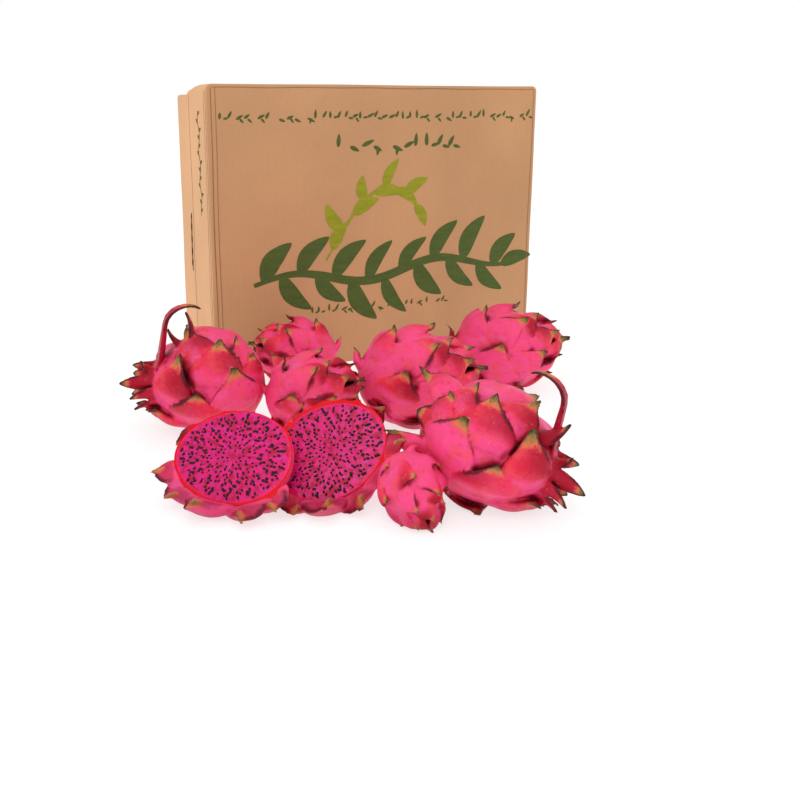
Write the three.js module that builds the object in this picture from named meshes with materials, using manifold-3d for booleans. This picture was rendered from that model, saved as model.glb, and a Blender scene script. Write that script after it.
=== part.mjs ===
// Dragon fruit in front of its carton: seven whole fruits, two cut halves and a closed two-piece carton.
// Units are millimetres, +Z is up. The carton's printed panel faces -Y.
import * as THREE from 'three';
import Module from 'manifold-3d';

const wasm = await Module();
wasm.setup();

// ---- driving dimensions -------------------------------------------------------------------------
const CARTON_WIDTH = 420;
const CARTON_DEPTH = 179;
const CARTON_HEIGHT = 329;
const BOARD = 4;
const LID_SKIRT = 100;
const LID_CLEARANCE = 0.8;
const CORNER_RADIUS = 5;
const EDGE_BEVEL = 1.5;
const SLOT_HEIGHT = 74;
const SLOT_WIDTH = 20;
const SLOT_CENTRE_Y = 119;
const SLOT_CENTRE_Z = 140;

const ROW_TURN = THREE.MathUtils.degToRad(22.6);
const BODY_SIDES = 14;
const BODY_RINGS = 9;
const BRACT_SIDES = 5;
const BRACT_RINGS = 4;
const LOOP_RINGS = 11;
const LOOP_STEM = 0.45;
const NEST_GAP = 1.5;
const EGG = 0.07;
const BRACT_CUP = 0.3;
const ROOT_DEPTH = 0.12;
const FLOOR_SOFTNESS = 3;

// One row per bract: polar angle from the crown, angle around the fruit, length, half width (both in
// fruit radii), lift off the skin at the base, extra lift gained along the bract, sideways lean.
const LONG_CROWN = [
  [32, 74, 1.8, 0.12, 145, 105, 0],
  [45, 347, 1.0, 0.3, 16, 10, 90],
  [18, 70, 0.5, 0.16, 75, 60, 0],
  [14, 10, 0.75, 0.2, 70, 25, 0],
  [22, 328, 0.6, 0.2, 62, 15, 0],
  [28, 298, 0.55, 0.18, 56, 12, 0],
  [38, 285, 0.5, 0.22, 42, 8, 0],
  [28, 150, 0.6, 0.24, 58, 15, 0],
  [28, 220, 0.6, 0.24, 58, 12, 0],
  [60, 290, 0.7, 0.4, 5, -16, 25],
  [60, 235, 0.7, 0.4, 6, -16, 25],
  [58, 185, 0.7, 0.4, 6, -14, 35],
  [58, 130, 0.72, 0.4, 6, -10, 50],
  [76, 45, 0.74, 0.34, 10, -6, 70],
  [75, 328, 0.8, 0.48, 3, -24, 82],
  [92, 20, 0.85, 0.5, 3, -30, 92],
  [96, 275, 0.7, 0.44, 4, -22, 50],
  [96, 215, 0.7, 0.44, 4, -22, 50],
  [94, 150, 0.7, 0.44, 4, -22, 60],
  [116, 350, 0.86, 0.5, 3, -30, 82],
  [120, 42, 0.6, 0.34, 6, -10, 68],
  [132, 28, 0.5, 0.3, 5, -10, 72],
  [130, 285, 0.5, 0.36, 4, -14, 50],
  [130, 190, 0.5, 0.36, 4, -14, 50],
];
const SHORT_CROWN = [
  [20, 80, 0.5, 0.22, 62, 5, 0],
  [22, 200, 0.5, 0.24, 60, 5, 0],
  [22, 320, 0.5, 0.24, 60, 5, 0],
  [45, 20, 0.62, 0.36, 14, -6, 15],
  [45, 110, 0.6, 0.38, 14, -6, 15],
  [46, 205, 0.6, 0.38, 12, -6, 15],
  [45, 300, 0.6, 0.38, 12, -6, 15],
  [64, 48, 0.62, 0.34, 8, -10, 35],
  [70, 345, 0.7, 0.44, 4, -22, 20],
  [68, 265, 0.66, 0.42, 5, -20, 20],
  [68, 180, 0.66, 0.42, 5, -20, 20],
  [92, 38, 0.85, 0.42, 4, -30, 22],
  [104, 358, 0.7, 0.44, 5, -20, 55],
  [100, 300, 0.7, 0.42, 4, -24, 40],
  [100, 225, 0.7, 0.42, 4, -24, 40],
  [98, 145, 0.7, 0.42, 4, -24, 30],
  [114, 56, 0.66, 0.28, 9, -4, 48],
  [130, 330, 0.5, 0.36, 4, -16, 50],
  [130, 240, 0.5, 0.36, 4, -16, 50],
  [148, 66, 0.38, 0.12, 14, 6, 55],
];

// Centre on the floor plan, radius, half length and the crown's direction in the turned row frame
// (right, back, up).
const WHOLE_FRUITS = [
  { name: 'fruit_left', at: [-44, -152], radius: 48, half: 56, crown: [-0.93, -0.28, 0.1], roll: 0,
    mirror: false, bracts: [...LONG_CROWN, [72, 82, 0.75, 0.15, 96, -25, 0]] },
  { name: 'fruit_back_left', at: [79, -66], radius: 38, half: 42, crown: [-0.93, -0.2, 0.3], roll: 0,
    mirror: false, bracts: SHORT_CROWN },
  { name: 'fruit_centre', at: [43, -197], radius: 38, half: 43, crown: [0.86, -0.25, 0.35], roll: 0,
    mirror: true, bracts: SHORT_CROWN },
  { name: 'fruit_centre_right', at: [144, -211], radius: 47, half: 54, crown: [0.95, -0.15, 0.2],
    roll: 0, mirror: true, bracts: SHORT_CROWN },
  { name: 'fruit_back_right', at: [278, -161], radius: 46, half: 54, crown: [0.95, -0.15, 0.25], roll: 0,
    mirror: true, bracts: SHORT_CROWN },
  { name: 'fruit_right', at: [124, -386], radius: 46, half: 56, crown: [0.86, -0.4, -0.26], roll: 0,
    mirror: true, bracts: LONG_CROWN, nestsBehind: 'fruit_small' },
  { name: 'fruit_small', at: [55, -390], radius: 25, half: 29, crown: [0.35, -0.6, -0.6], roll: 0,
    mirror: true, bracts: SHORT_CROWN },
];

// Halves are cut along the core; `face` is the way the cut looks and `lean` turns the core in that face.
const HALF_FRUITS = [
  { name: 'half_left', at: [-63, -315], radius: 39, half: 50, face: [-0.2, -0.74, 0.64], lean: 3, roll: 10,
    bracts: SHORT_CROWN },
  { name: 'half_right', at: [12, -332], radius: 40, half: 49, face: [-0.16, -0.78, 0.6], lean: 215, roll: 190,
    bracts: SHORT_CROWN, nestsBehind: 'half_left' },
];

// ---- helpers ------------------------------------------------------------------------------------
const ROW_RIGHT = new THREE.Vector3(Math.cos(ROW_TURN), -Math.sin(ROW_TURN), 0);
const ROW_BACK = new THREE.Vector3(Math.sin(ROW_TURN), Math.cos(ROW_TURN), 0);
const UP = new THREE.Vector3(0, 0, 1);

function rowVector([right, back, up]) {
  const out = new THREE.Vector3();
  out.addScaledVector(ROW_RIGHT, right);
  out.addScaledVector(ROW_BACK, back);
  out.addScaledVector(UP, up);
  return out.normalize();
}

function toManifold(geometry) {
  const source = geometry.index ? geometry.toNonIndexed() : geometry.clone();
  source.deleteAttribute('normal');
  source.deleteAttribute('uv');
  const positions = source.attributes.position.array;
  const lookup = new Map();
  const vertices = [];
  const triangles = [];
  for (let i = 0; i < positions.length; i += 3) {
    const point = [positions[i], positions[i + 1], positions[i + 2]];
    const key = point.map((value) => Math.round(value * 1e4)).join(',');
    if (!lookup.has(key)) {
      lookup.set(key, vertices.length / 3);
      vertices.push(...point);
    }
    triangles.push(lookup.get(key));
  }
  const kept = [];
  for (let i = 0; i < triangles.length; i += 3) {
    const [a, b, c] = triangles.slice(i, i + 3);
    if (a !== b && b !== c && c !== a) kept.push(a, b, c);
  }
  const mesh = new wasm.Mesh({
    numProp: 3,
    vertProperties: Float32Array.from(vertices),
    triVerts: Uint32Array.from(kept),
  });
  return new wasm.Manifold(mesh);
}

function toGeometry(manifold) {
  const mesh = manifold.getMesh();
  const geometry = new THREE.BufferGeometry();
  geometry.setAttribute('position', new THREE.BufferAttribute(Float32Array.from(mesh.vertProperties), 3));
  geometry.setIndex(Array.from(mesh.triVerts));
  geometry.computeVertexNormals();
  return geometry;
}

function finish(color, roughness) {
  return new THREE.MeshStandardMaterial({ color, roughness, metalness: 0 });
}

const group = new THREE.Group();

function addNode(name, manifold, material) {
  const mesh = new THREE.Mesh(toGeometry(manifold), material);
  mesh.name = name;
  group.add(mesh);
}

// ---- fruit --------------------------------------------------------------------------------------
function skinPoint(theta, phi, radius, half) {
  const waist = radius * (1 - EGG * Math.cos(theta)) * Math.sin(theta);
  return new THREE.Vector3(waist * Math.cos(phi), waist * Math.sin(phi), half * Math.cos(theta));
}

function bodyGeometry(radius, half, inset) {
  const geometry = new THREE.SphereGeometry(1, BODY_SIDES, BODY_RINGS);
  const position = geometry.attributes.position;
  for (let i = 0; i < position.count; i += 1) {
    const theta = Math.acos(THREE.MathUtils.clamp(position.getY(i), -1, 1));
    const phi = Math.atan2(position.getX(i), position.getZ(i));
    const point = skinPoint(theta, phi, radius - inset, half - inset);
    position.setXYZ(i, point.x, point.y, point.z);
  }
  return geometry;
}

function bractGeometry([theta, phi, length, width, lift, curl, lean], fruit) {
  const sign = fruit.mirror ? -1 : 1;
  const polar = THREE.MathUtils.degToRad(theta);
  const around = THREE.MathUtils.degToRad(sign * (phi + fruit.roll));
  const root = skinPoint(polar, around, fruit.radius, fruit.half);
  const ahead = skinPoint(polar - 0.02, around, fruit.radius, fruit.half);
  const tangent = ahead.sub(root).normalize();
  const side = new THREE.Vector3(-Math.sin(around), Math.cos(around), 0);
  const normal = new THREE.Vector3().crossVectors(side, tangent).multiplyScalar(-1);
  if (normal.dot(root) < 0) normal.negate();
  const turn = THREE.MathUtils.degToRad(sign * lean);
  const forward = tangent.clone().multiplyScalar(Math.cos(turn)).addScaledVector(side, Math.sin(turn));
  const across = new THREE.Vector3().crossVectors(normal, forward);
  const reach = length * fruit.radius;
  const halfWidth = width * fruit.radius;
  const start = THREE.MathUtils.degToRad(lift);
  const bend = THREE.MathUtils.degToRad(curl);
  const stem = lift > 90 ? LOOP_STEM : 0;
  root.addScaledVector(forward, -ROOT_DEPTH * fruit.radius * Math.cos(start));
  root.addScaledVector(normal, -ROOT_DEPTH * fruit.radius * (0.4 + Math.sin(start)));
  const rings = stem > 0 ? LOOP_RINGS : BRACT_RINGS;
  const geometry = new THREE.SphereGeometry(1, BRACT_SIDES, rings);
  const position = geometry.attributes.position;
  for (let i = 0; i < position.count; i += 1) {
    const u = (1 - position.getY(i)) / 2;
    const ring = Math.hypot(position.getX(i), position.getZ(i));
    const angle = Math.atan2(position.getZ(i), position.getX(i));
    const open = ring < 1e-6 ? 0 : 1;
    const spread = open * halfWidth * (1 - u) ** 0.8 * (1 + 0.5 * u);
    const thick = open * fruit.radius * 0.075 * (1 - 0.7 * u);
    const straight = reach * Math.min(u, stem);
    const curled = Math.max(0, u - stem) / (1 - stem);
    const pitch = start + bend * curled;
    const arc = (reach * (1 - stem)) / bend;
    const along = straight * Math.cos(start) + arc * (Math.sin(pitch) - Math.sin(start));
    const out = straight * Math.sin(start) + arc * (Math.cos(start) - Math.cos(pitch));
    const sideways = spread * Math.cos(angle);
    const cup = BRACT_CUP * halfWidth * (sideways / halfWidth) ** 2;
    const rise = thick * Math.sin(angle) - cup;
    const point = root.clone();
    point.addScaledVector(forward, along - rise * Math.sin(pitch));
    point.addScaledVector(normal, out + rise * Math.cos(pitch));
    point.addScaledVector(across, sideways);
    position.setXYZ(i, point.x, point.y, point.z);
  }
  return geometry;
}

function place(geometry, basis, centre) {
  const position = geometry.attributes.position;
  for (let i = 0; i < position.count; i += 1) {
    const point = new THREE.Vector3().fromBufferAttribute(position, i).applyMatrix4(basis).add(centre);
    if (point.z < FLOOR_SOFTNESS) {
      point.z = FLOOR_SOFTNESS * Math.exp((point.z - FLOOR_SOFTNESS) / FLOOR_SOFTNESS);
    }
    position.setXYZ(i, point.x, point.y, point.z);
  }
  return geometry;
}

function solid(geometry) {
  const body = toManifold(geometry);
  return body.volume() < 0 ? toManifold(flipped(geometry)) : body;
}

function flipped(geometry) {
  const out = geometry.toNonIndexed();
  const position = out.attributes.position;
  const a = new THREE.Vector3();
  const b = new THREE.Vector3();
  for (let i = 0; i < position.count; i += 3) {
    a.fromBufferAttribute(position, i);
    b.fromBufferAttribute(position, i + 1);
    position.setXYZ(i, b.x, b.y, b.z);
    position.setXYZ(i + 1, a.x, a.y, a.z);
  }
  return out;
}

function grownFruit(fruit, basis, centre) {
  const parts = [solid(place(bodyGeometry(fruit.radius, fruit.half, 0), basis, centre))];
  for (const bract of fruit.bracts) {
    parts.push(solid(place(bractGeometry(bract, fruit), basis, centre)));
  }
  return wasm.Manifold.union(parts);
}

function dented(manifold, neighbour, frame) {
  const swollen = bodyGeometry(neighbour.radius, neighbour.half, -NEST_GAP);
  return manifold.subtract(solid(place(swollen, frame.basis, frame.centre)));
}

function restOnFloor(manifold) {
  return manifold.translate([0, 0, -manifold.boundingBox().min[2]]);
}

function wholeFrame(fruit) {
  const crown = rowVector(fruit.crown);
  const front = rowVector([0, -1, 0]);
  const facing = front.addScaledVector(crown, -front.dot(crown)).normalize();
  const third = new THREE.Vector3().crossVectors(crown, facing);
  const basis = new THREE.Matrix4().makeBasis(facing, third, crown);
  const centre = new THREE.Vector3(fruit.at[0], fruit.at[1], fruit.radius);
  return { basis, centre };
}

function buildWhole(fruit) {
  const { basis, centre } = wholeFrame(fruit);
  let body = grownFruit(fruit, basis, centre);
  const neighbour = WHOLE_FRUITS.find((other) => other.name === fruit.nestsBehind);
  if (neighbour) {
    body = dented(body, neighbour, wholeFrame(neighbour));
  }
  addNode(fruit.name, restOnFloor(body), finish(0xe23a70, 0.45));
}

function halfFrame(half) {
  const face = rowVector(half.face);
  const level = new THREE.Vector3().crossVectors(UP, face).normalize();
  const crown = level.applyAxisAngle(face, THREE.MathUtils.degToRad(half.lean)).negate();
  const third = new THREE.Vector3().crossVectors(crown, face);
  const basis = new THREE.Matrix4().makeBasis(face, third, crown);
  const centre = new THREE.Vector3(half.at[0], half.at[1], half.radius);
  return { face, basis, centre };
}

function buildHalf(half) {
  const { face, basis, centre } = halfFrame(half);
  const whole = grownFruit({ ...half, mirror: false }, basis, centre);
  let kept = whole.trimByPlane(face.clone().negate().toArray(), -face.dot(centre));
  const neighbour = HALF_FRUITS.find((other) => other.name === half.nestsBehind);
  if (neighbour) {
    kept = dented(kept, neighbour, halfFrame(neighbour));
  }
  addNode(half.name, restOnFloor(kept), finish(0xd8208a, 0.35));
}

// ---- carton -------------------------------------------------------------------------------------
function roundedBlock(width, height, depth, radius, bevel) {
  const shape = new THREE.Shape();
  const w = width / 2 - bevel;
  const h = height / 2 - bevel;
  shape.moveTo(-w + radius, -h);
  shape.lineTo(w - radius, -h);
  shape.absarc(w - radius, -h + radius, radius, -Math.PI / 2, 0, false);
  shape.absarc(w - radius, h - radius, radius, 0, Math.PI / 2, false);
  shape.absarc(-w + radius, h - radius, radius, Math.PI / 2, Math.PI, false);
  shape.absarc(-w + radius, -h + radius, radius, Math.PI, Math.PI * 1.5, false);
  const geometry = new THREE.ExtrudeGeometry(shape, {
    depth: depth - 2 * bevel,
    bevelEnabled: bevel > 0,
    bevelThickness: bevel,
    bevelSize: bevel,
    bevelSegments: 1,
    curveSegments: 3,
    steps: 1,
  });
  geometry.translate(0, 0, bevel);
  geometry.rotateX(Math.PI / 2);
  geometry.translate(width / 2, depth, height / 2);
  return geometry;
}

function slotCutter() {
  const shape = new THREE.Shape();
  const r = SLOT_WIDTH / 2;
  const h = SLOT_HEIGHT / 2 - r;
  shape.moveTo(r, -h);
  shape.lineTo(r, h);
  shape.absarc(0, h, r, 0, Math.PI, false);
  shape.lineTo(-r, -h);
  shape.absarc(0, -h, r, Math.PI, Math.PI * 2, false);
  const geometry = new THREE.ExtrudeGeometry(shape, {
    depth: CARTON_WIDTH + 20,
    bevelEnabled: false,
    curveSegments: 8,
  });
  geometry.rotateX(Math.PI / 2);
  geometry.rotateZ(Math.PI / 2);
  geometry.translate(-10, SLOT_CENTRE_Y, SLOT_CENTRE_Z);
  return geometry;
}

function boxBetween(low, high) {
  const size = high.map((value, i) => value - low[i]);
  const geometry = new THREE.BoxGeometry(...size);
  geometry.translate(...low.map((value, i) => value + size[i] / 2));
  return geometry;
}

function buildCarton() {
  const lidOuter = solid(roundedBlock(CARTON_WIDTH, CARTON_HEIGHT, LID_SKIRT, CORNER_RADIUS, EDGE_BEVEL));
  const lidInner = solid(boxBetween(
    [BOARD, BOARD, BOARD],
    [CARTON_WIDTH - BOARD, LID_SKIRT + 10, CARTON_HEIGHT - BOARD],
  ));
  addNode('carton_lid', lidOuter.subtract(lidInner), finish(0xc4936b, 0.85));

  const inset = BOARD + LID_CLEARANCE;
  const trayDepth = CARTON_DEPTH - inset;
  const trayBlock = roundedBlock(CARTON_WIDTH - 2 * inset, CARTON_HEIGHT - 2 * inset, trayDepth, 3, 1);
  trayBlock.translate(inset, inset, inset);
  const wall = inset + BOARD;
  const trayInner = solid(boxBetween(
    [wall, 0, wall],
    [CARTON_WIDTH - wall, CARTON_DEPTH - BOARD, CARTON_HEIGHT - wall],
  ));
  const tray = solid(trayBlock).subtract(trayInner).subtract(solid(slotCutter()));
  addNode('carton_tray', tray, finish(0xd9ab82, 0.85));
}

// ---- assembly -----------------------------------------------------------------------------------
buildCarton();
for (const fruit of WHOLE_FRUITS) {
  buildWhole(fruit);
}
for (const half of HALF_FRUITS) {
  buildHalf(half);
}

const bounds = new THREE.Box3().setFromObject(group);
const middle = bounds.getCenter(new THREE.Vector3());
for (const mesh of group.children) {
  mesh.geometry.translate(-middle.x, -middle.y, -bounds.min.z);
}

export default group;
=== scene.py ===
"""Dragon fruit lying in front of its closed two-piece board carton.

Sizes are written in millimetres in the carton's own frame, whose origin is the lid's front, left, bottom
corner, and are turned into metres in the row frame when a piece is finished.
"""

import logging
import math
import random
from dataclasses import dataclass, field
from enum import Enum
from typing import Callable, Iterable, Optional, Sequence, Union

import bmesh
import bpy
import numpy as np
from mathutils import Matrix, Vector, noise
from mathutils.bvhtree import BVHTree
from mathutils.kdtree import KDTree

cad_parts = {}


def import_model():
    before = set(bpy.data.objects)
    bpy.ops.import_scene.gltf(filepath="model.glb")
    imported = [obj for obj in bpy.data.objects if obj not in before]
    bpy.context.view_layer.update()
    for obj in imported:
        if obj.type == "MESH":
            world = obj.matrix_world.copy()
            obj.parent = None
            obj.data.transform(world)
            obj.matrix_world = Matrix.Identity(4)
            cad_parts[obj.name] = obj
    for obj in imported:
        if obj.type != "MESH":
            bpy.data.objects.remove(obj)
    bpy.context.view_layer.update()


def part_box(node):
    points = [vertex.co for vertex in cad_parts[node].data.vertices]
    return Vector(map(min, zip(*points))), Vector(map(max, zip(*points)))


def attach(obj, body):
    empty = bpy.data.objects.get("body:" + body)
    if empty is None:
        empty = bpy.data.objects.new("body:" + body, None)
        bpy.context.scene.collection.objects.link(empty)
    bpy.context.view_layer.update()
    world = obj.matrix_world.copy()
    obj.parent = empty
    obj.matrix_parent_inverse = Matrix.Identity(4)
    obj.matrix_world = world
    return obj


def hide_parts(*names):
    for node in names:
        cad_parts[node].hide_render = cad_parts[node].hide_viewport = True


log = logging.getLogger("dragon_fruit")

MM = 0.001
ROW_TURN = math.radians(22.6)
ROW_RIGHT = Vector((math.cos(ROW_TURN), -math.sin(ROW_TURN), 0))
ROW_BACK = Vector((math.sin(ROW_TURN), math.cos(ROW_TURN), 0))
UP = Vector((0, 0, 1))
FLOOR_SOFTNESS = 3.0
Colour = tuple[float, float, float]
Input = Union[float, Sequence[float], bpy.types.NodeSocket]


def srgb(red: int, green: int, blue: int) -> Colour:
    """Turns a screen colour into linear light.

    Args:
        red, green, blue: the colour's parts, 0 to 255.

    Returns:
        The same colour as linear parts from 0 to 1.
    """
    return tuple(
        part / 12.92 if part <= 0.04045 else ((part + 0.055) / 1.055) ** 2.4
        for part in (red / 255, green / 255, blue / 255)
    )


def smoothstep(low: float, high: float, value: float) -> float:
    """Returns 0 below low, 1 above high and an even ease in between."""
    share = min(1.0, max(0.0, (value - low) / (high - low)))
    return share * share * (3 - 2 * share)


class Slot(Enum):
    """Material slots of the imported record."""

    BOARD_FACE = "board_face"
    BOARD_SIDE = "board_side"
    SKIN = "skin"
    FLESH = "flesh"


# ---- finishes -----------------------------------------------------------------------------------
class Shader:
    """A small builder for one procedural material.

    Args:
        name: the material's name.
    """

    def __init__(self, name: str) -> None:
        """Starts an empty material with its output and main surface."""
        self.material = bpy.data.materials.new(name)
        self.material.use_nodes = True
        self.tree = self.material.node_tree
        self.tree.nodes.clear()
        output = self.tree.nodes.new("ShaderNodeOutputMaterial")
        self.surface = self.tree.nodes.new("ShaderNodeBsdfPrincipled")
        self.tree.links.new(self.surface.outputs[0], output.inputs[0])

    def feed(self, node: bpy.types.Node, socket: Union[str, int], value: Input) -> None:
        """Links or sets one input of a node.

        Args:
            node: the node that takes the value.
            socket: the input's name or number.
            value: another node's output, or a constant.
        """
        if isinstance(value, bpy.types.NodeSocket):
            self.tree.links.new(value, node.inputs[socket])
        else:
            node.inputs[socket].default_value = value

    def node(self, kind: str, inputs: Optional[dict] = None, **settings: object) -> bpy.types.Node:
        """Adds a node.

        Args:
            kind: the node type without its common prefix.
            inputs: values for its inputs, by name or number.
            settings: plain properties of the node.

        Returns:
            The new node.
        """
        made = self.tree.nodes.new("ShaderNode" + kind)
        for key, value in settings.items():
            setattr(made, key, value)
        for socket, value in (inputs or {}).items():
            self.feed(made, socket, value)
        return made

    def place(self) -> bpy.types.NodeSocket:
        """Returns the object's own coordinates."""
        return self.node("TexCoord").outputs["Object"]

    def mark(self, name: str, vector: bool = False) -> bpy.types.NodeSocket:
        """Returns a value that the mesh stores at each point."""
        return self.node("Attribute", attribute_name=name).outputs["Vector" if vector else "Fac"]

    def stretched(self, vector: bpy.types.NodeSocket, scale: Sequence[float]) -> bpy.types.NodeSocket:
        """Returns coordinates scaled by its own amount along each axis."""
        return self.node("Mapping", {"Vector": vector, "Scale": scale}).outputs[0]

    def noise(self, vector: bpy.types.NodeSocket, scale: float,
              detail: float = 3.0) -> bpy.types.NodeSocket:
        """Returns a soft random pattern from 0 to 1."""
        return self.node("TexNoise", {"Vector": vector, "Scale": scale, "Detail": detail}).outputs["Fac"]

    def band(self, value: Input, low: float, high: float, floor: float = 0.0,
             top: float = 1.0) -> bpy.types.NodeSocket:
        """Eases a value from one number to another.

        Args:
            value: the value that is eased.
            low, high: where the ease starts and ends.
            floor, top: the numbers under low and over high.

        Returns:
            The eased value.
        """
        made = self.node("MapRange", interpolation_type="SMOOTHSTEP", clamp=True)
        for socket, number in zip(range(5), (value, low, high, floor, top)):
            self.feed(made, socket, number)
        return made.outputs[0]

    def math(self, operation: str, first: Input, second: Input) -> bpy.types.NodeSocket:
        """Returns the result of one sum on two numbers."""
        return self.node("Math", {0: first, 1: second}, operation=operation).outputs[0]

    def mix(self, share: Input, first: Input, second: Input) -> bpy.types.NodeSocket:
        """Blends two colours.

        Args:
            share: how much of the second colour shows.
            first, second: colours as linear parts or outputs.

        Returns:
            The blended colour.
        """
        made = self.node("Mix", data_type="RGBA")
        pairs = (made.inputs[0], share), (made.inputs[6], first), (made.inputs[7], second)
        for socket, value in pairs:
            if isinstance(value, bpy.types.NodeSocket):
                self.tree.links.new(value, socket)
            elif isinstance(value, (int, float)):
                socket.default_value = value
            else:
                socket.default_value = (*value, 1.0)
        return made.outputs[2]

    def ramp(self, value: bpy.types.NodeSocket,
             stops: Sequence[tuple[float, Colour]]) -> bpy.types.NodeSocket:
        """Turns a value into a colour.

        Args:
            value: the value, 0 to 1.
            stops: places along the run with their colours.

        Returns:
            The colour.
        """
        made = self.node("ValToRGB", {0: value})
        line = made.color_ramp
        while len(line.elements) < len(stops):
            line.elements.new(0.5)
        for element, (position, colour) in zip(line.elements, stops):
            element.position = position
            element.color = (*colour, 1.0)
        return made.outputs[0]

    def bump(self, height: bpy.types.NodeSocket, distance: float, strength: float = 1.0,
             under: Optional[bpy.types.NodeSocket] = None) -> bpy.types.NodeSocket:
        """Tilts the surface by a height pattern.

        Args:
            height: the pattern.
            distance: its depth in metres.
            strength: how much of it shows.
            under: a direction that is tilted already, if any.

        Returns:
            The surface direction.
        """
        inputs = {"Height": height, "Distance": distance, "Strength": strength}
        if under is not None:
            inputs["Normal"] = under
        return self.node("Bump", inputs).outputs[0]

    def finish(self, **inputs: Input) -> bpy.types.Material:
        """Sets the main surface's inputs.

        Args:
            inputs: the inputs by name, with _ for a space.

        Returns:
            The material.
        """
        for name, value in inputs.items():
            self.feed(self.surface, name.replace("_", " "), value)
        return self.material


@dataclass(frozen=True)
class BoardFinish:
    """Kraft liner of corrugated board: fibres, specks and faint flute lines.

    Args:
        name: the finish's name.
        liner: the liner's main colour.
        flute_axis: the axis that the flute lines are counted along.
    """

    name: str
    liner: Colour
    flute_axis: str = "X"

    def make(self) -> bpy.types.Material:
        """Mixes the finish.

        Returns:
            The finish as a material.
        """
        shader = Shader(self.name)
        where = shader.place()
        cloudy = shader.noise(where, 9.0, 4.0)
        fibres = shader.noise(shader.stretched(where, (420.0, 420.0, 90.0)), 1.0, 3.0)
        specks = shader.band(shader.noise(where, 900.0, 1.0), 0.66, 0.74)
        flutes = shader.node(
            "TexWave", {"Vector": where, "Scale": 38.0, "Distortion": 0.6, "Detail": 1.0},
            bands_direction=self.flute_axis,
        ).outputs["Fac"]
        darker = tuple(part * 0.91 for part in self.liner)
        lighter = tuple(min(1.0, part * 1.05) for part in self.liner)
        colour = shader.mix(shader.band(cloudy, 0.3, 0.72), darker, lighter)
        colour = shader.mix(shader.band(fibres, 0.35, 0.75, 0.0, 0.3), colour, self.liner)
        colour = shader.mix(shader.band(flutes, 0.1, 0.9, 0.0, 0.07), colour, darker)
        speck = tuple(part * 0.45 for part in self.liner)
        colour = shader.mix(shader.math("MULTIPLY", specks, 0.35), colour, speck)
        relief = shader.bump(flutes, 0.00012, 0.5)
        relief = shader.bump(fibres, 0.00009, 0.6, relief)
        return shader.finish(
            Base_Color=colour, Roughness=shader.band(cloudy, 0.2, 0.8, 0.78, 0.92),
            Normal=relief, Specular_IOR_Level=0.25,
        )


@dataclass(frozen=True)
class CutEdgeFinish:
    """Cut edge of corrugated board, where its wavy core shows as pale stripes with painted shade in the dark
    hollows between them.

    Args:
        name: the finish's name.
        liner: the colour of the pale stripes.
    """

    name: str
    liner: Colour

    def make(self) -> bpy.types.Material:
        """Mixes the finish.

        Returns:
            The finish as a material.
        """
        shader = Shader(self.name)
        where = shader.place()
        waves = shader.node(
            "TexWave", {"Vector": where, "Scale": 42.0, "Distortion": 1.2, "Detail": 2.0},
            bands_direction="DIAGONAL",
        ).outputs["Fac"]
        # Painted shade: the dark stripes stand for the shaded hollows between the flutes.
        hollow_shade = tuple(part * 0.3 for part in self.liner)
        colour = shader.mix(shader.band(waves, 0.35, 0.75), hollow_shade, self.liner)
        return shader.finish(
            Base_Color=colour, Roughness=0.95, Normal=shader.bump(waves, 0.001, 0.8),
            Specular_IOR_Level=0.15,
        )


@dataclass(frozen=True)
class InkFinish:
    """Printed ink on board, thin enough for some of the board to show through.

    Args:
        name: the finish's name.
        ink: the ink's colour.
        board: the colour underneath.
        worn: how much of the board shows where the ink is thin.
    """

    name: str
    ink: Colour
    board: Colour
    worn: float = 0.35

    def make(self) -> bpy.types.Material:
        """Mixes the finish.

        Returns:
            The finish as a material.
        """
        shader = Shader(self.name)
        where = shader.place()
        brush = shader.noise(shader.stretched(where, (60.0, 60.0, 240.0)), 1.0, 4.0)
        grain = shader.noise(where, 700.0, 2.0)
        thin = shader.math("MULTIPLY", shader.band(grain, 0.55, 0.75), self.worn)
        colour = shader.mix(shader.band(brush, 0.3, 0.7), self.ink, tuple(p * 1.2 for p in self.ink))
        colour = shader.mix(thin, colour, self.board)
        return shader.finish(
            Base_Color=colour, Roughness=shader.band(grain, 0.2, 0.8, 0.6, 0.8),
            Normal=shader.bump(grain, 0.00005, 0.5), Specular_IOR_Level=0.3,
        )


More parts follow.
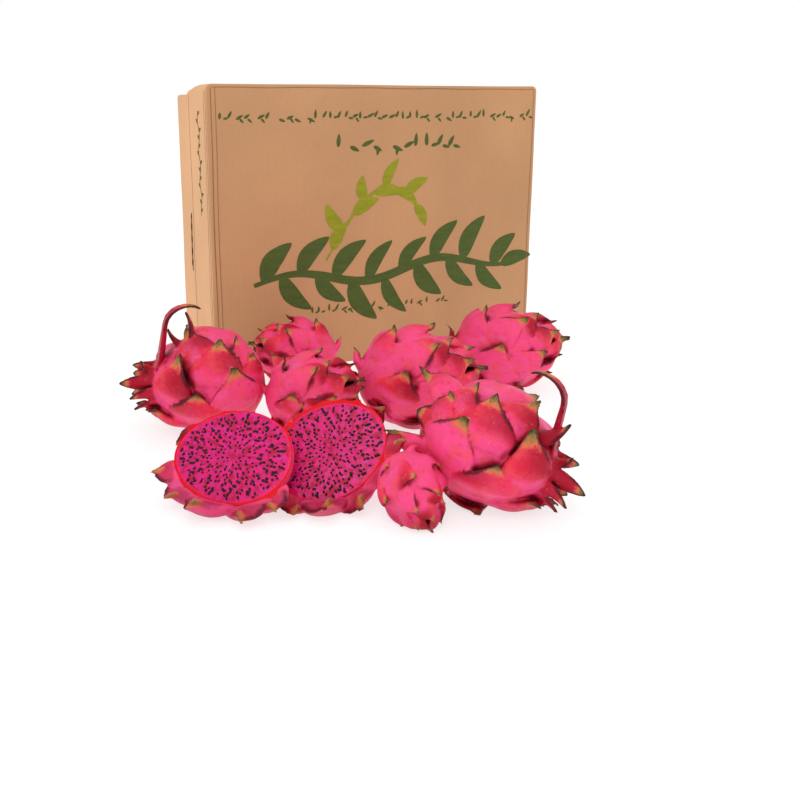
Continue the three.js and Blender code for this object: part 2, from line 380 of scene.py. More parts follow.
@dataclass(frozen=True)
class SkinFinish:
    """Waxy dragon-fruit skin: pink body, coral scales, olive tips with brown edges, crimson veins, and
    painted shade in the folds, under lifted tips and close to the floor.

    The mesh stores tip (0 at a scale's root to 1 at its point), rim (1 at its thin edge), tone (a share of
    coral for each scale), fold (painted shade, 1 where neighbours shut the skin in), dusk (1 on the leafy
    crown scales, part way on the redder scales, and painted shade under lifted tips and leaves) and grain
    (coordinates that run along each scale).

    Args:
        name: the finish's name.
        body, coral: the skin and its redder scales.
        crimson, shadow: the veins, and the painted shade in the folds from shallow to deep.
        fleck, lilac, pore: small warm flecks, cool patches and pale pores.
        deep_red_and_shade_below: the leafy crown scales and the redder scales, and the painted shade under
            lifted tips and leaves.
        edge: the dry rim of a scale.
        floor_shade: painted shade on the skin close to the floor.
        tip: colours towards a scale's point, each with its place on the way.
    """

    name: str
    body: Colour = srgb(240, 72, 130)
    coral: Colour = srgb(230, 42, 72)
    crimson: Colour = srgb(168, 8, 34)
    shadow: Colour = srgb(58, 4, 12)
    fleck: Colour = srgb(232, 76, 84)
    lilac: Colour = srgb(238, 108, 172)
    deep_red_and_shade_below: Colour = srgb(156, 0, 34)
    edge: Colour = srgb(70, 16, 30)
    floor_shade: Colour = srgb(124, 2, 26)
    pore: Colour = srgb(240, 150, 130)
    tip: tuple[tuple[float, Colour], ...] = (
        (0.0, srgb(226, 40, 70)), (0.7, srgb(222, 56, 74)), (0.8, srgb(216, 116, 78)),
        (0.86, srgb(150, 122, 66)), (0.91, srgb(84, 82, 40)), (0.97, srgb(36, 24, 16)),
    )

    def make(self) -> bpy.types.Material:
        """Mixes the finish.

        Returns:
            The finish as a material.
        """
        shader = Shader(self.name)
        where = shader.place()
        grain = shader.mark("grain", vector=True)
        veins = shader.noise(shader.stretched(grain, (5.0, 60.0, 1.0)), 1.0, 3.0)
        cloudy = shader.noise(where, 34.0, 4.0)
        pores = shader.band(shader.noise(where, 420.0, 1.0), 0.66, 0.76)
        tip = shader.math("ADD", shader.mark("tip"), shader.band(veins, 0.25, 0.75, -0.045, 0.045))
        tone = shader.math("ADD", shader.mark("tone"), shader.band(cloudy, 0.3, 0.7, -0.22, 0.22))

        skin = shader.mix(shader.band(tone, 0.15, 0.85), self.body, self.coral)
        flecks = shader.noise(where, 95.0, 4.0)
        skin = shader.mix(shader.band(flecks, 0.46, 0.64, 0.0, 0.6), skin, self.fleck)
        skin = shader.mix(shader.band(cloudy, 0.54, 0.72, 0.0, 0.5), skin, self.lilac)
        # Deep red on the crown leaves and redder scales, and painted shade under lifted tips and leaves.
        skin = shader.mix(shader.band(shader.mark("deep_red_and_shade_below"), 0.1, 0.9, 0.0, 0.85), skin, self.deep_red_and_shade_below)
        skin = shader.mix(shader.band(tip, 0.66, 0.8), skin, shader.ramp(tip, self.tip))
        brown = shader.math("MULTIPLY", shader.mark("rim"), shader.band(tip, 0.3, 0.7))
        skin = shader.mix(shader.band(brown, 0.12, 0.5, 0.0, 0.92), skin, self.edge)
        skin = shader.mix(shader.band(veins, 0.52, 0.76, 0.0, 0.34), skin, self.crimson)
        # Painted shade: where neighbours shut the skin in, it darkens to crimson and then to the shadow
        # colour.
        fold_shade = shader.mark("fold_shade")
        skin = shader.mix(shader.band(fold_shade, 0.04, 0.34, 0.0, 0.9), skin, self.crimson)
        skin = shader.mix(shader.band(fold_shade, 0.26, 0.6, 0.0, 0.92), skin, self.shadow)
        # Painted shade: the skin darkens towards deep red in its lowest 26 mm, close to the floor.
        height = shader.node("SeparateXYZ", {0: where}).outputs[2]
        skin = shader.mix(shader.band(height, 0.002, 0.026, 0.45, 0.0), skin, self.floor_shade)
        skin = shader.mix(shader.math("MULTIPLY", pores, 0.16), skin, self.pore)
        relief = shader.bump(veins, 0.0007, 0.35)
        relief = shader.bump(shader.noise(where, 160.0, 3.0), 0.0006, 0.25, relief)
        return shader.finish(
            Base_Color=skin, Roughness=shader.band(cloudy, 0.2, 0.8, 0.34, 0.5), Normal=relief,
            Specular_IOR_Level=0.16,
        )


@dataclass(frozen=True)
class CutPeelFinish:
    """Freshly cut peel: wet bright red.

    Args:
        name: the finish's name.
        red: the main colour.
        bright, pink: the colours of its patches.
    """

    name: str
    red: Colour = srgb(206, 4, 16)
    bright: Colour = srgb(220, 18, 28)
    pink: Colour = srgb(214, 14, 60)

    def make(self) -> bpy.types.Material:
        """Mixes the finish.

        Returns:
            The finish as a material.
        """
        shader = Shader(self.name)
        where = shader.place()
        cloudy = shader.noise(where, 120.0, 4.0)
        colour = shader.mix(shader.band(cloudy, 0.3, 0.7), self.red, self.bright)
        colour = shader.mix(shader.band(cloudy, 0.6, 0.8, 0.0, 0.4), colour, self.pink)
        return shader.finish(
            Base_Color=colour, Roughness=0.45, Normal=shader.bump(cloudy, 0.0006, 0.5),
            Specular_IOR_Level=0.12,
        )


@dataclass(frozen=True)
class FleshFinish:
    """Wet magenta flesh with crimson and lilac streaks that fan out from the core.

    The mesh stores fan (coordinates that keep one value along each ray) and reach (0 at the core, 1 at the
    peel).

    Args:
        name: the finish's name.
        magenta: the main colour.
        streak, lilac: the dark and the cool streaks.
        crimson: the blotches between the seeds.
        border: the line along the peel.
    """

    name: str
    magenta: Colour = srgb(214, 20, 112)
    streak: Colour = srgb(172, 8, 62)
    lilac: Colour = srgb(196, 44, 156)
    crimson: Colour = srgb(166, 6, 40)
    border: Colour = srgb(232, 24, 74)

    def make(self) -> bpy.types.Material:
        """Mixes the finish.

        Returns:
            The finish as a material.
        """
        shader = Shader(self.name)
        fan = shader.mark("fan", vector=True)
        reach = shader.mark("reach")
        where = shader.place()
        streaks = shader.noise(shader.stretched(fan, (0.8, 0.8, 2.2)), 1.0, 5.0)
        lilac = shader.noise(shader.stretched(fan, (1.5, 1.5, 4.0)), 1.0, 3.0)
        blotch = shader.noise(where, 190.0, 4.0)
        colour = shader.mix(shader.band(streaks, 0.46, 0.64, 0.0, 0.85), self.magenta, self.streak)
        colour = shader.mix(shader.band(lilac, 0.54, 0.66, 0.0, 0.8), colour, self.lilac)
        colour = shader.mix(shader.band(blotch, 0.5, 0.62, 0.0, 0.75), colour, self.crimson)
        colour = shader.mix(shader.band(reach, 0.93, 1.0, 0.0, 0.75), colour, self.border)
        relief = shader.bump(streaks, 0.0008, 0.4)
        relief = shader.bump(blotch, 0.0006, 0.4, relief)
        return shader.finish(
            Base_Color=colour, Roughness=shader.band(blotch, 0.3, 0.7, 0.2, 0.4), Normal=relief,
            Specular_IOR_Level=0.2,
        )


@dataclass(frozen=True)
class SeedFinish:
    """Small black seeds with a wet gloss.

    Args:
        name: the finish's name.
        black: the seed's colour.
        glow: the reddish juice on it.
    """

    name: str
    black: Colour = srgb(8, 4, 8)
    glow: Colour = srgb(32, 8, 20)

    def make(self) -> bpy.types.Material:
        """Mixes the finish.

        Returns:
            The finish as a material.
        """
        shader = Shader(self.name)
        speck = shader.noise(shader.place(), 900.0, 2.0)
        colour = shader.mix(shader.band(speck, 0.3, 0.7), self.black, self.glow)
        return shader.finish(Base_Color=colour, Roughness=0.45, Specular_IOR_Level=0.25)


# ---- growth of a fruit --------------------------------------------------------------------------
@dataclass(frozen=True)
class Bract:
    """One leafy scale of the fruit.

    Args:
        polar: angle of its root from the crown, degrees.
        around: angle of its root around the fruit, degrees.
        length: its length in fruit radii.
        width: its half width in fruit radii.
        lift: how far it stands off the skin at its root, degrees.
        curl: how much further it lifts towards its point, degrees.
        lean: how far it turns sideways, degrees.
        tint: 0 for pink to 1 for crimson; below 0 it is drawn at random.
    """

    polar: float
    around: float
    length: float
    width: float
    lift: float
    curl: float
    lean: float
    tint: float = -1.0

    @property
    def leafy(self) -> float:
        """1 for a loose leaf of the crown, 0 for a scale that hugs the body."""
        return smoothstep(30, 60, self.lift)


LONG_CROWN = tuple(Bract(*row) for row in (
    (32, 74, 1.85, 0.13, 145, 135, 0, 0.75),
    (45, 347, 1.0, 0.42, 18, 10, 90, 1.0),
    (18, 70, 0.5, 0.14, 75, 70, 0, 0.9),
    (14, 10, 0.8, 0.16, 66, 40, 0, 0.9),
    (24, 332, 0.66, 0.15, 58, 40, 0, 0.7),
    (30, 298, 0.6, 0.14, 54, 36, 0, 0.5),
    (46, 285, 0.6, 0.34, 12, -6, 0, 0.4),
    (28, 150, 0.6, 0.2, 58, 25, 0, 0.9),
    (28, 220, 0.6, 0.2, 58, 25, 0, 0.7),
    (60, 290, 0.7, 0.4, 5, -16, 25),
    (60, 235, 0.7, 0.4, 6, -16, 25),
    (58, 185, 0.7, 0.4, 6, -14, 35),
    (58, 130, 0.72, 0.4, 6, -10, 50),
    (76, 45, 0.74, 0.4, 10, -6, 70, 0.95),
    (75, 328, 0.8, 0.48, 4, -24, 82, 0.7),
    (92, 20, 0.85, 0.5, 5, -30, 92, 0.8),
    (96, 275, 0.7, 0.44, 4, -22, 50),
    (96, 215, 0.7, 0.44, 4, -22, 50),
    (94, 150, 0.7, 0.44, 4, -22, 60),
    (116, 350, 0.86, 0.5, 4, -30, 82, 0.2),
    (120, 42, 0.6, 0.34, 6, -10, 68),
    (132, 28, 0.5, 0.3, 5, -10, 72),
    (130, 285, 0.5, 0.36, 4, -14, 50),
    (130, 190, 0.5, 0.36, 4, -14, 50),
    (94, 92, 0.72, 0.44, 5, -22, 45, 0.6),
    (122, 112, 0.6, 0.4, 5, -18, 50),
    (126, 240, 0.6, 0.4, 5, -18, 50),
))
SHORT_CROWN = tuple(Bract(*row) for row in (
    (24, 80, 0.62, 0.34, 26, 5, 0, 1.0),
    (26, 200, 0.6, 0.34, 24, 5, 0, 0.9),
    (26, 320, 0.6, 0.34, 24, 5, 0, 1.0),
    (45, 20, 0.62, 0.38, 16, -6, 15, 0.9),
    (45, 110, 0.6, 0.38, 16, -6, 15, 1.0),
    (46, 205, 0.6, 0.38, 12, -6, 15),
    (45, 300, 0.6, 0.38, 12, -6, 15),
    (64, 48, 0.62, 0.36, 10, -10, 35, 1.0),
    (70, 345, 0.7, 0.44, 4, -22, 20),
    (68, 265, 0.66, 0.42, 5, -20, 20),
    (68, 180, 0.66, 0.42, 5, -20, 20),
    (92, 38, 0.85, 0.42, 6, -30, 22, 0.35),
    (104, 358, 0.7, 0.44, 5, -20, 55),
    (100, 300, 0.7, 0.42, 5, -24, 40, 0.6),
    (100, 225, 0.7, 0.42, 4, -24, 40),
    (98, 145, 0.7, 0.42, 4, -24, 30),
    (114, 56, 0.66, 0.28, 9, -4, 48),
    (130, 330, 0.5, 0.36, 4, -16, 50),
    (130, 240, 0.5, 0.36, 4, -16, 50),
    (148, 66, 0.38, 0.12, 14, 6, 55),
    (88, 98, 0.7, 0.42, 5, -22, 30, 0.5),
    (124, 112, 0.6, 0.4, 5, -18, 50),
    (126, 172, 0.6, 0.4, 5, -18, 50),
))


# Scales that stand out past the cut of each half: the angle around is measured from the cut's own way.
LEFT_SKIRT = tuple(Bract(*row) for row in (
    (22, 250, 0.36, 0.3, 40, -14, 66, 0.2),
    (48, 252, 0.42, 0.36, 42, -14, 76, 0.2),
    (80, 252, 0.78, 0.42, 42, -14, 76, 0.1),
    (112, 252, 0.52, 0.4, 42, -14, 84, 0.0),
    (136, 250, 0.4, 0.34, 40, -14, 88, 0.3),
))
RIGHT_SKIRT = tuple(Bract(*row) for row in (
    (152, 272, 0.6, 0.36, 42, -14, -74, 0.6),
    (122, 270, 0.85, 0.44, 42, -14, -80, 0.1),
    (90, 270, 0.5, 0.42, 42, -14, -84, 0.0),
    (60, 270, 0.5, 0.4, 42, -16, -80, 0.4),
    (32, 270, 0.4, 0.3, 42, -16, -72, 0.8),
))
# Leaves that only the finished fruits have: they fill the crown and curl round the stem end.
LEFT_EXTRA = tuple(Bract(*row) for row in (
    (72, 82, 0.75, 0.19, 96, -25, 0, 1.0),
    (58, 98, 0.5, 0.2, 60, 40, 0, 0.9),
    (24, 180, 0.55, 0.22, 50, 40, 0, 0.9),
))
RIGHT_EXTRA = tuple(Bract(*row) for row in (
    (50, 62, 0.8, 0.2, 66, 46, 0, 0.9),
    (132, 62, 0.62, 0.26, 40, 34, 150, 0.5),
    (136, 22, 0.5, 0.26, 44, 30, 165, 0.5),
    (142, 330, 0.45, 0.24, 40, 30, 180, 0.4),
))


def row_vector(right: float, back: float, up: float) -> Vector:
    """Returns a direction given in the turned row of fruit."""
    return (ROW_RIGHT * right + ROW_BACK * back + UP * up).normalized()


@dataclass
class FruitForm:
    """Shape of one fruit before its scales: an egg with a place and a direction.

    Args:
        radius: half its thickness.
        half: half its length along the core.
        axes: columns are its facing side, its third axis and its crown.
        centre: its middle before it is set down on the floor.
        mirror: whether its scales run the other way round.
        roll: turn of the scales around the core, degrees.
        seed: start of its random draws.
    """

    radius: float
    half: float
    axes: Matrix
    centre: Vector
    mirror: bool
    roll: float
    seed: int

    # EGG is the taper towards the crown. ROOT_DEPTH is in fruit radii, the last two are in millimetres.
    EGG = 0.07
    ROOT_DEPTH = 0.12
    FACET_LOSS = 0.6
    SWELL = 1.0

    def skin(self, theta: float, phi: float) -> Vector:
        """Returns the point of the bare body at a polar angle and an angle around."""
        waist = self.radius * (1 - self.EGG * math.cos(theta)) * math.sin(theta)
        return Vector((waist * math.cos(phi), waist * math.sin(phi), self.half * math.cos(theta)))

    def placed(self, point: Vector) -> Vector:
        """Puts a point of the fruit at its place, pressed softly on the floor.

        Args:
            point: the point in the fruit's own frame.

        Returns:
            The point in the carton's frame.
        """
        out = self.axes @ point + self.centre
        if out.z < FLOOR_SOFTNESS:
            out.z = FLOOR_SOFTNESS * math.exp((out.z - FLOOR_SOFTNESS) / FLOOR_SOFTNESS)
        return out

    def landing(self, way: Vector) -> tuple[Vector, Vector]:
        """Finds where a way from the core comes through the bare body.

        Args:
            way: the way, of length 1.

        Returns:
            The point of the body and its outward direction.
        """
        base = self.skin(math.acos(max(-1.0, min(1.0, way.z))), math.atan2(way.y, way.x))
        size = self.radius ** 2, self.radius ** 2, self.half ** 2
        return base, Vector(base[i] / size[i] for i in range(3)).normalized()

    def cleared(self, point: Vector) -> Vector:
        """Pushes a neighbour's point out of this fruit's own body.

        Args:
            point: a point in the carton's frame.

        Returns:
            The point, on this body if it was inside.
        """
        local = self.axes.transposed() @ (point - self.centre)
        sizes = (self.radius + self.SWELL, self.radius + self.SWELL, self.half + self.SWELL)
        depth = Vector(local[i] / sizes[i] for i in range(3)).length
        if depth >= 1 or depth < 1e-6:
            return point
        return self.axes @ (local / depth) + self.centre


class ScaleyBody:
    """Grows the body and scales of one fruit as one closed skin.

    Args:
        form: the fruit's shape and place.
        bracts: its scales.
        neighbour: the form that it nests behind, if any.
        has_body: whether the egg under the scales is grown too.
        ripeness: how far the green and brown of the tips has come.
    """

    VOXEL = 1.0
    QUICK_VOXEL = 1.7
    CRUMB = 80
    LOWER_END = 0.55
    LOWER_SMOOTHINGS = 4
    SMOOTHINGS = 3
    MARK_SMOOTHINGS = 4
    # The fourth mark is partly a deeper red and partly painted shade under lifted tips and leaves; the fifth
    # is painted shade in the folds.
    MARKS = ("tip", "rim", "tone", "deep_red_and_shade_below", "fold_shade")
    BODY_TONE = 0.12
    BODY_WAVES = 2.2
    BODY_DENT = 0.022
    BODY_SHRINK = 0.01
    GRAIN_STEP = 1.7
    LEAFY = 0.4
    FLAT_RIPENESS = 0.82
    # The heights and the thickness of a hugging scale, in fruit radii.
    RISE = 0.066
    TIP_RISE = 0.034
    TIP_FLICK = 0.11
    EDGE_RISE = 0.04
    BELLY = 0.035
    SUNK = 0.06
    SCALE_THICKNESS = 0.04
    # A loose leaf: its thickness is in fruit radii, its straight stem and its sway are shares of its length.
    LEAF_WIDTH = 1.3
    LEAF_CUP = 0.42
    LEAF_THICKNESS = 0.066
    LEAF_STEM = 0.3
    LOOP_STEM = 0.5
    SWAY = 0.16
    # The painted shade in the folds is felt for with slanting rays that start this many millimetres off the
    # skin and reach this many fruit radii.
    FEEL_START = 0.9
    FEEL_REACH = 0.3
    FEEL_SLANT = 1.3

    def __init__(self, form: FruitForm, bracts: Sequence[Bract], neighbour: Optional[FruitForm] = None,
                 has_body: bool = True, ripeness: float = 1.0) -> None:
        """Keeps what the fruit grows from."""
        self.has_body = has_body
        self.ripeness = ripeness
        self.form = form
        self.bracts = bracts
        self.neighbour = neighbour
        self.random = random.Random(form.seed)
        self.pattern = sphere_pattern("scale_pattern", 24, 20)
        self.points: list[Vector] = []
        self.marks: list[tuple[float, ...]] = []
        self.grains: list[Vector] = []

    def note(self, point: Vector, marks: tuple[float, ...], grain: Vector) -> Vector:
        """Records what the skin is like at a point.

        Args:
            point: the point in the fruit's own frame.
            marks: its value for each of MARKS.
            grain: its place in the pattern that runs along a scale.

        Returns:
            The point in the carton's frame.
        """
        out = self.form.placed(point)
        if self.neighbour:
            out = self.neighbour.cleared(out)
        self.points.append(out)
        self.marks.append(marks)
        self.grains.append(grain)
        return out

    def body(self, bm: bmesh.types.BMesh) -> None:
        """Adds the bare egg, with shallow dents and swellings.

        Args:
            bm: the mesh that it is added to.
        """
        form = self.form
        made = bmesh.ops.create_icosphere(bm, subdivisions=5, radius=1.0)
        offset = Vector((form.seed * 3.7, 1.3, 0))
        for vert in made["verts"]:
            unit = vert.co.normalized()
            theta, phi = math.acos(max(-1.0, min(1.0, unit.z))), math.atan2(unit.y, unit.x)
            wave = noise.noise(unit * self.BODY_WAVES + offset) * self.BODY_DENT - self.BODY_SHRINK
            base = form.skin(theta, phi)
            point = base * (1 - form.FACET_LOSS / form.radius) + unit * (wave * form.radius)
            grain = Vector((theta * 2, phi * math.sin(theta), 0.0))
            vert.co = self.note(point, (0.0, 0.0, self.BODY_TONE, 0.0, 0.0), grain)

    def directions(self, bract: Bract) -> tuple[Vector, Vector, Vector, Vector]:
        """Works out which ways a scale grows.

        Args:
            bract: the scale.

        Returns:
            Its root's way from the core, its forward, its sideways and its outward way.
        """
        form = self.form
        sign = -1 if form.mirror else 1
        theta, phi = math.radians(bract.polar), math.radians(sign * (bract.around + form.roll))
        ring = math.sin(theta)
        root = Vector((ring * math.cos(phi), ring * math.sin(phi), math.cos(theta)))
        tangent = (form.skin(theta - 0.02, phi) - form.skin(theta, phi)).normalized()
        side = Vector((-math.sin(phi), math.cos(phi), 0))
        normal = tangent.cross(side).normalized()
        if normal.dot(root) < 0:
            normal.negate()
        turn = math.radians(sign * bract.lean)
        forward = tangent * math.cos(turn) + side * math.sin(turn)
        return root, forward, normal.cross(forward), normal

    def scale(self, bm: bmesh.types.BMesh, bract: Bract, number: int) -> None:
        """Adds one scale that hugs the body, with a raised edge and a pointed tip.

        Args:
            bm: the mesh that it is added to.
            bract: its sizes.
            number: its place in the list, which sets its grain.
        """
        form = self.form
        root, forward, across, _ = self.directions(bract)
        forward = (forward - root * forward.dot(root)).normalized()
        across = root.cross(forward)
        tone = bract.tint if bract.tint >= 0 else self.random.uniform(0.1, 0.95)
        tilt = self.random.choice((-1, 1))
        stand = form.radius * (0.9 + 0.5 * bract.lift / 10)
        flick = self.TIP_FLICK * (self.ripeness - self.FLAT_RIPENESS) / (1 - self.FLAT_RIPENESS)
        for vert in stamp(bm, self.pattern):
            u, angle, is_open = unrolled(vert.co)
            edge, face = math.cos(angle), math.sin(angle) * is_open
            share = edge * scale_outline(u) * is_open
            reach = u * bract.length - form.ROOT_DEPTH
            way = root * math.cos(reach) + forward * math.sin(reach)
            slide = share * bract.width
            way = (way * math.cos(slide) + across * math.sin(slide)).normalized()
            base, normal = form.landing(way)
            # One long edge stands higher than the other, and the tip flicks up.
            raised = max(0.0, edge * tilt) * smoothstep(0.3, 0.7, u)
            lift = self.RISE * smoothstep(0.0, 0.5, u) + self.TIP_RISE * smoothstep(0.5, 0.9, u)
            lift += flick * smoothstep(0.82, 1.0, u) + self.EDGE_RISE * raised
            belly = self.BELLY * (1 - edge * edge) * math.sin(math.pi * min(1.0, 1.15 * u))
            top = (lift + belly) * stand
            # The scale's lower face is sunk in the body at the root and comes free towards the tip.
            loose = smoothstep(0.45, 0.72, u) * (0.55 + 0.45 * raised)
            bottom = -self.SUNK * form.radius * (1 - loose)
            bottom += (top - self.SCALE_THICKNESS * form.radius) * loose
            shape = 0.5 + 0.5 * math.copysign(abs(face) ** 0.45, face)
            point = base + normal * (bottom + (top - bottom) * shape)
            # The root keeps the body's colour and the scale's own fades in.
            rim = abs(edge) ** 3 * (0.35 + 0.65 * raised)
            # Painted shade: the lower face of a lifted tip is darkened towards deep red.
            inner = 0.55 if face < -0.2 and u > 0.5 else 0.0
            settle = smoothstep(0.05, 0.55, u)
            flush = settle * max(0.0, tone - 0.2) * 1.5 * (0.55 + 0.45 * edge * tilt)
            blush = self.BODY_TONE + settle * (tone - self.BODY_TONE)
            grain = Vector((u * 2, share, number * self.GRAIN_STEP))
            # The fourth mark holds the scale's deeper red together with the painted shade under its tip.
            marks = (u * 0.97 * self.ripeness, rim, blush, max(inner, flush), 0.0)
            vert.co = self.note(point, marks, grain)

    def leaf(self, bm: bmesh.types.BMesh, bract: Bract, number: int) -> None:
        """Adds one loose leaf that stands off the body and curls.

        Args:
            bm: the mesh that it is added to.
            bract: its sizes.
            number: its place in the list, which sets its grain.
        """
        form = self.form
        root, forward, across, normal = self.directions(bract)
        root = form.skin(math.acos(root.z), math.atan2(root.y, root.x))
        reach, wide = bract.length * form.radius, bract.width * form.radius * self.LEAF_WIDTH
        start, bend = math.radians(bract.lift), math.radians(bract.curl)
        root = root - forward * (form.ROOT_DEPTH * form.radius * math.cos(start))
        root = root - normal * (form.ROOT_DEPTH * form.radius * (0.4 + math.sin(start)))
        stem = self.LOOP_STEM if bract.lift > 90 else self.LEAF_STEM
        sway = self.random.uniform(-self.SWAY, self.SWAY)
        for vert in stamp(bm, self.pattern):
            u, angle, is_open = unrolled(vert.co)
            spread = is_open * wide * (1 - u) ** 0.75 * (1 + 0.5 * u)
            thick = is_open * form.radius * self.LEAF_THICKNESS * (1 - 0.6 * u)
            # The middle line runs straight along the stem and then round an arc.
            straight = reach * min(u, stem)
            pitch = start + bend * max(0.0, u - stem) / (1 - stem)
            arc = reach * (1 - stem) / bend
            along = straight * math.cos(start) + arc * (math.sin(pitch) - math.sin(start))
            out = straight * math.sin(start) + arc * (math.cos(start) - math.cos(pitch))
            sideways = spread * math.cos(angle)
            share = sideways / wide
            cup = self.LEAF_CUP * wide * share ** 2
            rise = thick * math.sin(angle) - cup
            point = root + forward * (along - rise * math.sin(pitch))
            point += normal * (out + rise * math.cos(pitch)) + across * (sideways + sway * reach * u * u)
            rim = abs(math.cos(angle)) ** 3
            # Painted shade: a leaf's lower face is darkened a little towards deep red.
            inner = 0.3 if math.sin(angle) < 0 else 0.0
            deep_red_and_shade_below = min(1.0, (0.65 if bract.tint < 0 else bract.tint) + inner)
            grain = Vector((u * 2, share, number * self.GRAIN_STEP))
            vert.co = self.note(point, (u * self.ripeness, rim, 0.7, deep_red_and_shade_below, 0.0), grain)

    def grown(self, name: str) -> bpy.types.Object:
        """Grows the skin.

        Args:
            name: the finished object's name.

        Returns:
            An object whose closed mesh is in millimetres in the carton's frame.
        """
        bm = bmesh.new()
        if self.has_body:
            self.body(bm)
        for number, bract in enumerate(self.bracts):
            grow = self.leaf if bract.leafy > self.LEAFY else self.scale
            grow(bm, bract, number)
        bmesh.ops.recalc_face_normals(bm, faces=bm.faces)
        rough = linked(bm, name + "_rough")
        modifier = rough.modifiers.new("grow together", "REMESH")
        modifier.mode = "VOXEL"
        modifier.voxel_size = self.VOXEL
        mesh = evaluated(rough)
        bpy.data.objects.remove(rough)
        tree = KDTree(len(self.points))
        for index, point in enumerate(self.points):
            tree.insert(point, index)
        tree.balance()
        bm = bmesh.new()
        bm.from_mesh(mesh)
        bpy.data.meshes.remove(mesh)
        drop_crumbs(bm, self.CRUMB)
        nearest = [tree.find(vert.co)[1] for vert in bm.verts]
        lower = [vert for vert, index in zip(bm.verts, nearest) if self.marks[index][0] < self.LOWER_END]
        soften(bm, lower, self.LOWER_SMOOTHINGS)
        soften(bm, bm.verts, self.SMOOTHINGS)
        skin = linked(bm, name)
        self.store(skin.data, nearest)
        return skin

    def folds(self, mesh: bpy.types.Mesh) -> np.ndarray:
        """Feels how shut in the skin is, which sets the painted shade in its folds.

        Args:
            mesh: the finished skin.

        Returns:
            A share from 0 to 1 for each point.
        """
        tree = BVHTree.FromPolygons(
            [vert.co for vert in mesh.vertices], [tuple(face.vertices) for face in mesh.polygons]
        )
        shut = np.zeros(len(mesh.vertices))
        reach = self.FEEL_REACH * self.form.radius
        for index, vert in enumerate(mesh.vertices):
            normal = vert.normal
            first = normal.orthogonal().normalized() * self.FEEL_SLANT
            second = normal.cross(first)
            start = vert.co + normal * self.FEEL_START
            slants = (Vector(), first, -first, second, -second)
            hits = 0.0
            for slant in slants:
                _, _, _, distance = tree.ray_cast(start, (normal + slant).normalized(), reach)
                hits += 0.0 if distance is None else 1 - 0.6 * distance / reach
            shut[index] = hits / len(slants)
        return shut

    def store(self, mesh: bpy.types.Mesh, nearest: Sequence[int]) -> None:
        """Writes the skin's marks, softened between neighbouring points.

        Args:
            mesh: the finished skin.
            nearest: for each of its points, the number of the recorded point beside it.
        """
        values = np.array([self.marks[index] for index in nearest])
        # The painted shade in the folds comes from rays felt on the finished skin.
        values[:, self.MARKS.index("fold_shade")] = self.folds(mesh)
        edges = np.zeros(len(mesh.edges) * 2, np.int32)
        mesh.edges.foreach_get("vertices", edges)
        edges = edges.reshape(-1, 2)
        count = np.bincount(edges.ravel(), minlength=len(mesh.vertices))[:, None]
        for _ in range(self.MARK_SMOOTHINGS):
            total = np.zeros_like(values)
            np.add.at(total, edges[:, 0], values[edges[:, 1]])
            np.add.at(total, edges[:, 1], values[edges[:, 0]])
            values = 0.4 * values + 0.6 * total / np.maximum(count, 1)
        for column, name in enumerate(self.MARKS):
            write_marks(mesh, name, values[:, column])
        write_marks(mesh, "grain", np.array([self.grains[index] for index in nearest]))


# ---- mesh helpers -------------------------------------------------------------------------------
def linked(bm: bmesh.types.BMesh, name: str) -> bpy.types.Object:
    """Turns a bmesh into an object in the scene.

    Args:
        bm: the shape, which is freed.
        name: the object's name.

    Returns:
        The new object.
    """
    mesh = bpy.data.meshes.new(name)
    bm.to_mesh(mesh)
    bm.free()
    made = bpy.data.objects.new(name, mesh)
    bpy.context.scene.collection.objects.link(made)
    return made


def stamp(bm: bmesh.types.BMesh, pattern: bpy.types.Mesh) -> list[bmesh.types.BMVert]:
    """Adds a copy of a small mesh.

    Args:
        bm: the mesh that it is added to.
        pattern: the small mesh.

    Returns:
        The new points.
    """
    before = len(bm.verts)
    bm.from_mesh(pattern)
    bm.verts.ensure_lookup_table()
    return bm.verts[before:]


def unrolled(point: Vector) -> tuple[float, float, float]:
    """Reads a point of the pattern ball as a point of a leaf.

    Args:
        point: the point of the ball.

    Returns:
        Its share of the way from root to tip, its angle around, and 0 at the ball's poles or 1 elsewhere.
    """
    is_open = 1.0 if math.hypot(point.x, point.y) > 1e-6 else 0.0
    return (1 - point.z) / 2, math.atan2(point.y, point.x), is_open


def scale_outline(u: float) -> float:
    """Returns a hugging scale's half width at a share of its length, as a share of the widest."""
    taper = 1 - 0.34 * smoothstep(0.5, 1.0, u)
    return (1 - u ** 1.8) ** 0.9 * taper * (0.8 + 0.35 * smoothstep(0, 0.35, u))


def soften(bm: bmesh.types.BMesh, verts: Sequence[bmesh.types.BMVert], times: int) -> None:
    """Smooths points of a mesh.

    Args:
        bm: the mesh.
        verts: the points that move.
        times: how often they move.
    """
    for _ in range(times):
        bmesh.ops.smooth_vert(
            bm, verts=verts, factor=0.5, use_axis_x=True, use_axis_y=True, use_axis_z=True,
        )


def drop_crumbs(bm: bmesh.types.BMesh, least: int) -> None:
    """Deletes small loose bits.

    Args:
        bm: the mesh.
        least: how many points a bit needs to stay.
    """
    seen: set[bmesh.types.BMVert] = set()
    crumbs: list[bmesh.types.BMVert] = []
    for start in bm.verts:
        if start in seen:
            continue
        island, edge = [start], [start]
        seen.add(start)
        while edge:
            for link in edge.pop().link_edges:
                for vert in link.verts:
                    if vert not in seen:
                        seen.add(vert)
                        island.append(vert)
                        edge.append(vert)
        if len(island) < least:
            crumbs += island
    bmesh.ops.delete(bm, geom=crumbs, context="VERTS")


